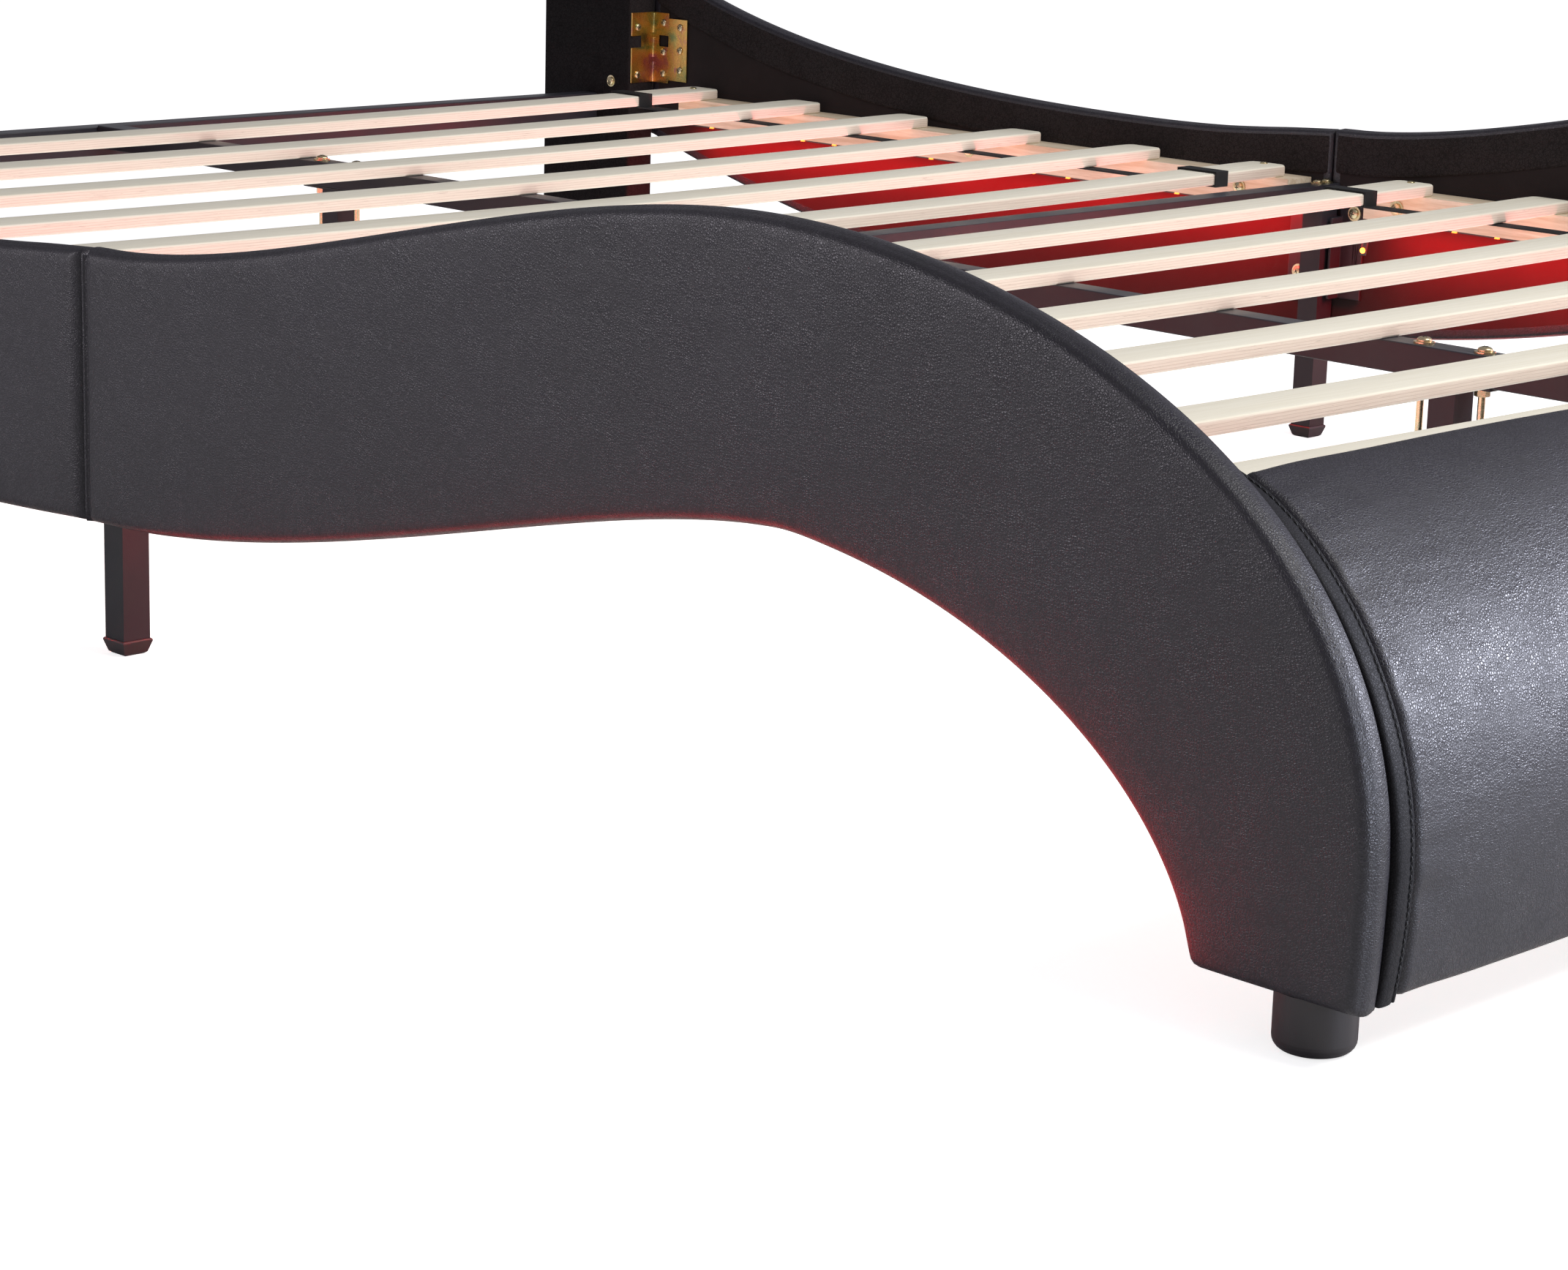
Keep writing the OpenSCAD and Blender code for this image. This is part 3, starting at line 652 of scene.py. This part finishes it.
def make_linings():
    """Black cloth stapled over the boards' inner faces, a little slack between the staples."""
    points, faces = [], []
    for half, seed in (("foot", 4.0), ("head", 6.0)):
        p = smooth(outline("rail_right_" + half, X_OUT), 9 * MM)
        inset = p + inward(p) * 4.5 * MM
        flat, triangles = fill(inset, [6 * MM], FILL_GRID)
        gap = np.clip(distance(flat, inset) / (30 * MM), 0, 1)
        slack = wrinkle(flat * (1, 2.2), 9, seed) * 0.55 * MM
        slack += wrinkle(flat * (2.5, 1), 16, seed + 2) * 0.3 * MM
        first = len(points)
        points += [(X_IN + 1.1 * MM - slack[i] * gap[i], q[0], q[1]) for i, q in enumerate(flat)]
        faces += [tuple(first + k for k in f) for f in triangles]
    faces = oriented(points, faces, -1)
    both_sides("lining_cloth", "lining_SIDE", points, faces, LINING, "lining")


def make_wings():
    """The rail's wave carried up the head posts, covered on both faces."""
    p = smooth(outline("wing_right", X_OUT), RAIL_STEP)
    points, faces = upholstered(p, X_OUT, X_IN, SOFT, BACK_SOFT, [(p[:, 0].min(), SEAM_SOFT)], 8.0)
    pair = both_sides("wing_cover", "wing_SIDE", points, faces, LEATHER, "leather")
    for piece in pair:
        tidy_normals(piece)
    inset = p + inward(p) * 3.5 * MM
    flat, triangles = fill(inset, [5 * MM], 18 * MM)
    points = [(X_IN + 0.2 * MM, q[0], q[1]) for q in flat]
    both_sides("wing_inner", "wing_SIDE", points, oriented(points, triangles, -1), LEATHER, "leather")


# ---------------------------------------------------------------- foot and head panels
def long_sides(loop):
    """The two long sides of a bent panel's cross-section, the longer and outer one first."""
    n = len(loop)
    corners = sorted(sorted(range(n), key=lambda i: -turn_at(loop, i))[:4])
    sides = []
    for a, b in zip(corners, corners[1:] + [corners[0] + n]):
        sides.append(np.array([loop[i % n] for i in range(a, b + 1)]))
    sides.sort(key=lambda s: -np.linalg.norm(np.diff(s, axis=0), axis=1).sum())
    return sides[0], sides[1]


def normals_along(line):
    """Unit normals on the left of an open line."""
    d = np.gradient(line, axis=0)
    n = np.stack([-d[:, 1], d[:, 0]], 1)
    return n / np.linalg.norm(n, axis=1)[:, None]


def wrapped(line, into, thick, radius):
    """A panel's outer line carried round both of its ends, onto its inner face."""
    n = normals_along(line) * into
    out = []
    for end, tangent, normal in ((line[0], line[1] - line[0], n[0]),
                                 (line[-1], line[-2] - line[-1], n[-1])):
        tangent = tangent / np.linalg.norm(tangent)
        centre = end + tangent * radius + normal * radius
        arc = [centre - normal * radius * math.cos(a) - tangent * radius * math.sin(a)
               for a in (math.radians(k) for k in (0, 18, 36, 54, 72, 90))]
        arc.append(end + normal * thick)
        out.append(arc)
    between = [q for q in line
               if min(np.linalg.norm(q - line[0]), np.linalg.norm(q - line[-1])) > radius * 1.05]
    return np.array(out[0][::-1] + between + out[1])


def bent_panel(name, node, thick, radius, end_soft, seed):
    """Leather over a bent board, from one end to the other, with its ends drawn in."""
    low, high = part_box(node)
    outer, inner = long_sides(outline(node, low.x))
    line = smooth(outer, 6 * MM, closed=False)
    if line[0][1] < line[-1][1]:
        line = line[::-1]
    middle, step = line[len(line) // 2], normals_along(line)[len(line) // 2] * 4 * MM
    ahead, behind = distance(np.array([middle + step, middle - step]), inner, False)
    sign = -1.0 if ahead > behind else 1.0      # turns the normals toward the panel's board
    path = wrapped(line, sign, thick, radius)
    n = normals_along(path) * sign
    half = high.x
    xs = [half - end_soft * (1 - math.cos(math.radians(k))) for k in (0, 20, 40, 60, 78, 90)]
    xs = xs + list(np.linspace(xs[-1], -xs[-1], 140)[1:-1]) + [-x for x in xs[::-1]]
    rows = []
    for x in xs:
        d = half - abs(x)
        fall = float(drop(np.array([d]), end_soft)[0])
        near = math.exp(-max(d - end_soft, 0) / (55 * MM))
        row = []
        for k, q in enumerate(path):
            w = noise.noise(Vector((x * 9, q[1] * 14, seed))) * 0.7 * MM
            w += near * noise.noise(Vector((x * 18, (q[0] + q[1]) * 75, seed + 4))) * 1.5 * MM
            w -= near * 1.6 * MM
            w *= min(1, d / end_soft)
            at = q + n[k] * (fall - w)
            row.append((x, at[0], at[1]))
        rows.append(row)
    points = [q for row in rows for q in row]
    faces = grid_faces(len(rows), len(rows[0]))
    piece = add(name, points, faces, LEATHER)
    tidy_normals(piece)
    finished(piece, "leather", node)
    return line, sign


def make_panels():
    line, sign = bent_panel("foot_panel_cover", "foot_panel", 26 * MM, 7 * MM, 8 * MM, 3.0)
    make_welts(line, sign)
    bent_panel("head_panel_cover", "head_panel", 30 * MM, 8 * MM, 8 * MM, 7.0)


def make_welts(line, sign):
    """The edging strip beside each end of the foot panel, with its row of stitches."""
    low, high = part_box("foot_panel")[1].x, X_IN - 0.6 * MM
    line = smooth(line, 4 * MM, closed=False)
    n = normals_along(line) * sign
    width = high - low
    # across the strip: the share of its width, and the depth below the panel's surface in mm
    profile = [(0.0, 9.0), (0.05, 4.0), (0.1, 2.0), (0.18, 1.5), (0.23, 2.0), (0.26, 2.7), (0.29, 2.0),
               (0.42, 1.2), (0.6, 0.9), (0.8, 0.9), (0.93, 1.4), (0.975, 2.8), (0.995, 7.5)]
    rows = []
    for q, normal in zip(line, n):
        row = []
        for share, deep in profile:
            wave = 0.25 * noise.noise(Vector((q[0] * 60, q[1] * 60, share * 3)))
            at = q + normal * (deep + wave) * MM
            row.append((low + width * share, at[0], at[1]))
        rows.append(row)
    points = [q for row in rows for q in row]
    faces = grid_faces(len(rows), len(rows[0]))
    stitch_points, stitch_faces = stitches(line, n, low + width * 0.26, 1.9 * MM)
    for side in (1, -1):
        tag = "right" if side > 0 else "left"
        strip = add("edging_" + tag, *((points, faces) if side > 0 else mirrored(points, faces)), EDGING)
        tidy_normals(strip)
        finished(strip, "edging", "foot_welts")
        sewn = (stitch_points, stitch_faces) if side > 0 else mirrored(stitch_points, stitch_faces)
        finished(add("edging_stitches_" + tag, *sewn, THREAD), "edging")


STITCH = 3.8 * MM          # length of one stitch
STITCH_SPACE = 1.7 * MM    # distance between two
THREAD_R = 0.5 * MM


def stitches(line, n, x, deep):
    """Short rounded threads lying along a line."""
    step = np.linalg.norm(np.diff(line, axis=0), axis=1)
    run = np.concatenate([[0], np.cumsum(step)])
    points, faces = [], []
    at = 6 * MM
    while at + STITCH < run[-1] - 4 * MM:
        rings = []
        for t, r in ((0.0, 0.25), (0.12, 0.8), (0.5, 1.0), (0.88, 0.8), (1.0, 0.25)):
            s = at + STITCH * t
            centre = np.array([np.interp(s, run, line[:, k]) for k in (0, 1)])
            normal = np.array([np.interp(s, run, n[:, k]) for k in (0, 1)])
            rise = 0.55 * MM * math.sin(math.pi * t)
            centre = centre + normal * (deep - rise)
            ring = []
            for a in range(6):
                c, si = math.cos(a * math.pi / 3), math.sin(a * math.pi / 3)
                q = centre + normal * (r * THREAD_R * si)
                ring.append((x + r * THREAD_R * c, q[0], q[1]))
            rings.append(ring)
        first = len(points)
        points += [q for ring in rings for q in ring]
        faces += grid_faces(len(rings), 6, closed=True, first=first)
        at += STITCH + STITCH_SPACE
    return points, faces


# ---------------------------------------------------------------- slats and posts
SLAT_T = 12 * MM           # thickness of a slat
SLAT_EDGE = 2.6 * MM       # rounding of the long edges
SLAT_CORNER = 7 * MM       # rounding of the corners, seen from above
SLAT_REST = 735 * MM       # the slats are straight beyond this, on the ledgers


def make_slats():
    """Each slat again, with rounded edges and corners."""
    for node in [n for n in NODES if n.startswith("slat_") and n != "slat_screws"]:
        low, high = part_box(node)
        middle = (low + high) / 2
        half_x, half_y = (high.x - low.x) / 2, (high.y - low.y) / 2
        sag = high.z - low.z - SLAT_T
        ends = [half_x - SLAT_CORNER * (1 - math.cos(math.radians(a))) for a in (0, 18, 36, 54, 72, 90)]
        xs = ends + list(np.linspace(ends[-1], -ends[-1], 70)[1:-1]) + [-x for x in ends[::-1]]
        rows = []
        for x in xs:
            narrow = float(drop(np.array([half_x - abs(x)]), SLAT_CORNER)[0])
            dip = sag * (1 - (min(abs(x), SLAT_REST) / SLAT_REST) ** 2)
            cut = SLAT_EDGE * (1 - 0.55 * (half_x - abs(x) < 1e-9))
            row = []
            for cy, cz, start in ((1, 1, 0), (-1, 1, 90), (-1, -1, 180), (1, -1, 270)):
                for step in (0, 22.5, 45, 67.5, 90):
                    a = math.radians(start + step)
                    y = cy * (half_y - narrow - cut) + cut * math.cos(a)
                    z = cz * (SLAT_T / 2 - cut) + cut * math.sin(a)
                    row.append((middle.x + x, middle.y + y, high.z - SLAT_T / 2 - dip + z))
            rows.append(row)
        count = len(rows[0])
        points = [q for row in rows for q in row]
        faces = grid_faces(len(rows), count, closed=True)
        faces += [tuple(range(count)), tuple(range(len(points) - 1, len(points) - count - 1, -1))]
        piece = add(node + "_wood", points, faces, SLAT_WOOD)
        tidy_normals(piece)
        finished(piece, "slat_wood", node)


def make_posts():
    """The head posts, boards wrapped in thin matt black cover."""
    low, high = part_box("post_right")
    p = smooth(outline("post_right", low.x), 12 * MM)
    points, faces = upholstered(p, low.x, high.x, 4 * MM, 2 * MM, [], 11.0, 0.0)
    for piece in both_sides("post_cover", "post_SIDE", points, faces, POST_COVER, "post_cover"):
        tidy_normals(piece)
    inset = p + inward(p) * 1.2 * MM
    flat, triangles = fill(inset, [5 * MM], 18 * MM)
    points = [(high.x - 0.3 * MM, q[0], q[1]) for q in flat]
    both_sides("post_outer", "post_SIDE", points, oriented(points, triangles, 1), POST_COVER, "post_cover")


# ---------------------------------------------------------------- CAD nodes that stay
BEVEL_ANGLE = math.radians(35)


def keep(node, material, bevel=0.0):
    """Dresses a CAD node, with its sharp edges taken off."""
    piece = NODES[node]
    piece.data.materials.clear()
    piece.data.materials.append(material)
    if bevel:
        weld = piece.modifiers.new("weld", "WELD")
        weld.merge_threshold = 1e-5
        edge = piece.modifiers.new("bevel", "BEVEL")
        edge.width = bevel
        edge.segments = 2
        edge.limit_method = "ANGLE"
        edge.angle_limit = BEVEL_ANGLE


def dress_frame():
    """Materials for the CAD nodes that are shown as they are."""
    for node in NODES:
        if node.startswith("ledger_"):
            keep(node, SOFTWOOD, 1.2 * MM)
        elif node.startswith("core_") or node.endswith("_core") or node == "corner_blocks":
            keep(node, LINING)
        elif node.startswith("straps_"):
            keep(node, WEBBING)
        elif node in ("bracket_left", "bracket_right"):
            keep(node, ZINC, 0.4 * MM)
        elif node in SCREW_NODES:
            keep(node, BOLT_ZINC)
        elif node.startswith("light_strip_"):
            keep(node, STRIP)
        elif node in ("foot_left", "foot_right", "leg_caps"):
            keep(node, PLASTIC)
        elif not NODES[node].hide_render:
            keep(node, STEEL, 1.0 * MM)


# ---------------------------------------------------------------- light strips
LAMP_PITCH = 52 * MM


def make_lamps():
    """Small square lamps along the strips, peeping out under the ledgers' front edges."""
    for side in ("right", "left"):
        low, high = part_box("light_strip_" + side)
        sign = 1 if side == "right" else -1
        front = low.x if sign > 0 else high.x
        points, faces = [], []
        for y in np.arange(low.y + 20 * MM, high.y - 20 * MM, LAMP_PITCH):
            if STRIP_GAP[0] - 4 * MM < y < STRIP_GAP[1] + 4 * MM:
                continue
            centre = (front - sign * 2.6 * MM, float(y), low.z + 1.2 * MM)
            first = len(points)
            for dx, dy, dz in ((-1.4, -2.5, -1), (1.4, -2.5, -1), (1.4, 2.5, -1), (-1.4, 2.5, -1),
                               (-1.0, -2.0, 1), (1.0, -2.0, 1), (1.0, 2.0, 1), (-1.0, 2.0, 1)):
                points.append((centre[0] + dx * MM, centre[1] + dy * MM, centre[2] + dz * MM))
            faces += [tuple(first + k for k in f) for f in CUBOID_FACES]
        piece = add("lamps_" + side, points, faces, LAMP, False)
        finished(piece, "light")


def make_tails():
    """The strips' loose ends, hanging at mid-length with one bright lamp each."""
    x, y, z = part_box("ledger_right_foot")[0].x + 0.6 * MM, -76 * MM, 210 * MM
    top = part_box("light_strip_right")[0].z
    rows = []
    for t in np.linspace(0, 1, 9):
        curl = 1.5 * MM * math.sin(3.1 * t)
        at = Vector((x + curl, y - 6 * MM * (1 - t) ** 2, top + (z - 5 * MM - top) * t))
        rows.append([(at.x, at.y - 4 * MM, at.z), (at.x, at.y + 4 * MM, at.z),
                     (at.x + 0.9 * MM, at.y + 4 * MM, at.z), (at.x + 0.9 * MM, at.y - 4 * MM, at.z)])
    points = [q for row in rows for q in row]
    last = len(points) - 4
    faces = grid_faces(len(rows), 4, closed=True) + [(3, 2, 1, 0), tuple(range(last, last + 4))]
    around = 12                                                 # points in each ring of the lamp
    rings = ((3.0, 0.0), (2.9, 1.2), (2.2, 2.4), (1.0, 3.0))    # radius and distance out, in mm
    bulb_points = []
    for r, out in rings:
        for k in range(around):
            a = k * 2 * math.pi / around
            bulb_points.append((x - out * MM, y + r * MM * math.cos(a), z + r * MM * math.sin(a)))
    tip = tuple(range(len(bulb_points) - around, len(bulb_points)))
    bulb_faces = grid_faces(len(rings), around, closed=True) + [tip]
    for side in ("right", "left"):
        tail = (points, faces) if side == "right" else mirrored(points, faces)
        bulb = (bulb_points, bulb_faces) if side == "right" else mirrored(bulb_points, bulb_faces)
        for name, shape, material in (("strip_tail_", tail, STRIP), ("tail_lamp_", bulb, GLARE)):
            piece = add(name + side, *shape, material)
            tidy_normals(piece)
            finished(piece, "light")


# ---------------------------------------------------------------- screw heads
def loose_parts(node):
    """The separate solids of a CAD node, as lists of points."""
    mesh = NODES[node].data
    place = [tuple(round(c, 6) for c in v.co) for v in mesh.vertices]
    home = {q: q for q in place}

    def root(q):
        while home[q] != q:
            home[q] = home[home[q]]
            q = home[q]
        return q

    for face in mesh.polygons:
        first = root(place[face.vertices[0]])
        for v in face.vertices[1:]:
            home[root(place[v])] = first
    parts = {}
    for q in home:
        parts.setdefault(root(q), []).append(Vector(q))
    return list(parts.values())


AXES = [Vector(v) for v in ((1, 0, 0), (-1, 0, 0), (0, 1, 0), (0, -1, 0), (0, 0, 1), (0, 0, -1))]
SLOT_REACH = 2.3 * MM      # half the length of a slot in a screw head
SLOT_HALF = 0.45 * MM      # half its width


def make_slot_shades():
    """Dark crossed slots in the top of every screw head: dark boxes set into the head's tip, painting the
    shade of a cross recess.
    """
    random.seed(9)
    for node in SCREW_NODES:
        points, faces = [], []
        for part in loose_parts(node):
            for axis in AXES:
                reach = max(q.dot(axis) for q in part)
                tip = [q for q in part if q.dot(axis) > reach - 1e-6]
                if len(tip) != 1:
                    continue            # only a round head comes to a single point
                wide = axis.orthogonal().normalized()
                wide.rotate(Matrix.Rotation(random.uniform(0, math.pi), 3, axis))
                for along in (wide, axis.cross(wide)):
                    cross = axis.cross(along)
                    first = len(points)
                    for a, b, c in ((-1, -1, 0), (1, -1, 0), (1, 1, 0), (-1, 1, 0),
                                    (-1, -1, 1), (1, -1, 1), (1, 1, 1), (-1, 1, 1)):
                        points.append(tip[0] + along * a * SLOT_REACH + cross * b * SLOT_HALF
                                      + axis * (c * 0.75 - 0.7) * MM)
                    faces += [tuple(first + k for k in f) for f in CUBOID_FACES]
        if points:
            finished(add(node + "_recess", points, faces, SLOT_SHADE, False), "zinc")


# ---------------------------------------------------------------- stage and light
def make_stage():
    """A white floor, and soft lights that each fall on one group of materials."""
    floor = add("floor", [(-25, -25, FLOOR_Z), (25, -25, FLOOR_Z), (25, 25, FLOOR_Z), (-25, 25, FLOOR_Z)],
                [(0, 1, 2, 3)], bpy.data.materials.new("floor"))
    material = floor.data.materials[0]
    material.use_nodes = True
    shader = material.node_tree.nodes["Principled BSDF"]
    shader.inputs["Base Color"].default_value = (0.9, 0.9, 0.9, 1)
    shader.inputs["Roughness"].default_value = 0.9
    shader.inputs["Specular IOR Level"].default_value = 0.1
    shader.inputs["Emission Color"].default_value = (1, 1, 1, 1)
    shader.inputs["Emission Strength"].default_value = 0.76

    world = bpy.data.worlds.new("studio")
    bpy.context.scene.world = world
    world.use_nodes = True
    world.node_tree.nodes["Background"].inputs["Color"].default_value = (0.94, 0.92, 1.0, 1)
    world.node_tree.nodes["Background"].inputs["Strength"].default_value = 0.33
    bpy.context.scene.view_settings.view_transform = "Standard"

    groups = {name: bpy.data.collections.new(name)
              for name in ("leather_parts", "black_parts", "pale_parts")}
    for piece in bpy.context.scene.objects:
        if piece.type == "MESH" and piece != floor:
            made_of = set(piece.data.materials)
            if made_of & {LEATHER, EDGING, THREAD, PLASTIC}:
                groups["leather_parts"].objects.link(piece)
            elif made_of & {LINING, HEM_LEATHER, POST_COVER, STEEL}:
                groups["black_parts"].objects.link(piece)
            else:
                groups["pale_parts"].objects.link(piece)
    leather, pale = groups["leather_parts"], groups["pale_parts"]
    floor.light_linking.receiver_collection = pale
    pale_and_floor = bpy.data.collections.new("pale_and_floor")
    for piece in (*pale.objects, floor):
        pale_and_floor.objects.link(piece)
    softbox("key", (3.1, -3.6, 1.55), (-0.4, -1.2, 0.2), 1.6, 0.9, 240, (0.82, 0.85, 1.0), leather)
    softbox("end", (0.3, -4.6, 0.55), (-0.8, -1.2, 0.2), 1.2, 1.0, 60, (0.76, 0.83, 1.0), leather)
    softbox("side", (3.4, -3.0, 1.55), (0.0, -1.2, 0.2), 2.2, 1.3, 70, (1.0, 0.98, 0.96), pale)
    for tag, power, lit in (("leather", 70, leather), ("black", 150, groups["black_parts"]),
                            ("pale", 120, pale_and_floor)):
        softbox("front_" + tag, (0.5, -2.7, 3.1), (0.0, 0.0, 0.28), 2.6, 1.6, power, (1.0, 0.985, 0.95), lit)
    softbox("left", (-4.0, 1.9, 1.3), (-0.8, -0.3, 0.25), 2.4, 1.4, 77, (0.98, 0.92, 1.0), leather)


def softbox(name, place, aim, width, height, power, colour, lit):
    """A rectangular light that shines from place toward aim, on the pieces in lit alone."""
    data = bpy.data.lights.new(name, "AREA")
    data.shape = "RECTANGLE"
    data.size, data.size_y = width, height
    data.energy = power
    data.color = colour
    light = bpy.data.objects.new(name, data)
    bpy.context.scene.collection.objects.link(light)
    light.location = place
    light.rotation_euler = (Vector(aim) - Vector(place)).to_track_quat("-Z", "Y").to_euler()
    light.light_linking.receiver_collection = lit
    return light


RED = (1.0, 0.008, 0.012)  # colour of the light strips


def strip_light(name, place, aim, length, power, lit, colour=RED, width=10 * MM):
    """A long thin red light that lies along Y."""
    light = softbox(name, place, aim, width, length, power, colour, lit)
    back = (Vector(place) - Vector(aim)).normalized()
    along = Vector((0, 1, 0))
    along = (along - back * along.dot(back)).normalized()
    turn = Matrix((along.cross(back), along, back)).transposed().to_4x4()
    light.matrix_world = Matrix.Translation(place) @ turn


def make_glow():
    """Red light from the strips, on the bed alone."""
    lit = bpy.data.collections.new("lit_by_strips")
    for piece in bpy.context.scene.objects:
        if piece.type == "MESH" and piece.name != "floor":
            lit.objects.link(piece)
    for side, sign in (("right", 1), ("left", -1)):
        low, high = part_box("light_strip_" + side)
        x = (low.x + high.x) / 2
        for half, y0, y1 in (("foot", low.y, STRIP_GAP[0]), ("head", STRIP_GAP[1], high.y)):
            y, length = (y0 + y1) / 2, y1 - y0
            tag = "_%s_%s" % (side, half)
            strip_light("glow_down" + tag, (x, y, low.z - 2 * MM), (x + sign * 20 * MM, y, 0.1),
                        length, 5.6, lit)
            strip_light("glow_up" + tag, (sign * 0.70, y, 0.17), (sign * 0.45, y, 0.4), length, 1.05, lit,
                        (1.0, 0.10, 0.12))
    # the glow that creeps round the lower edges of the rails
    p = smooth(outline("rail_right_foot", X_OUT), 80 * MM)
    n = inward(p)
    for i in range(len(p)):
        under = n[i][1] > 0.35 or (n[i][0] < -0.6 and p[i][1] < 0.25)
        y, z = p[i] - n[i] * 25 * MM
        if under and z > 0.03 and -1.15 < p[i][0] < -0.03:
            for sign in (1, -1):
                strip_light("creep_%d_%d" % (i, sign), (sign * (X_OUT + 3 * MM), y, z),
                            (sign * (X_OUT - 8 * MM), p[i][0], p[i][1]), 75 * MM, 0.007, lit, width=15 * MM)


# ---------------------------------------------------------------- the scene
make_camera()
make_rails()
make_linings()
make_wings()
make_panels()
make_slats()
make_posts()
dress_frame()
make_lamps()
make_tails()
make_slot_shades()
make_stage()
make_glow()
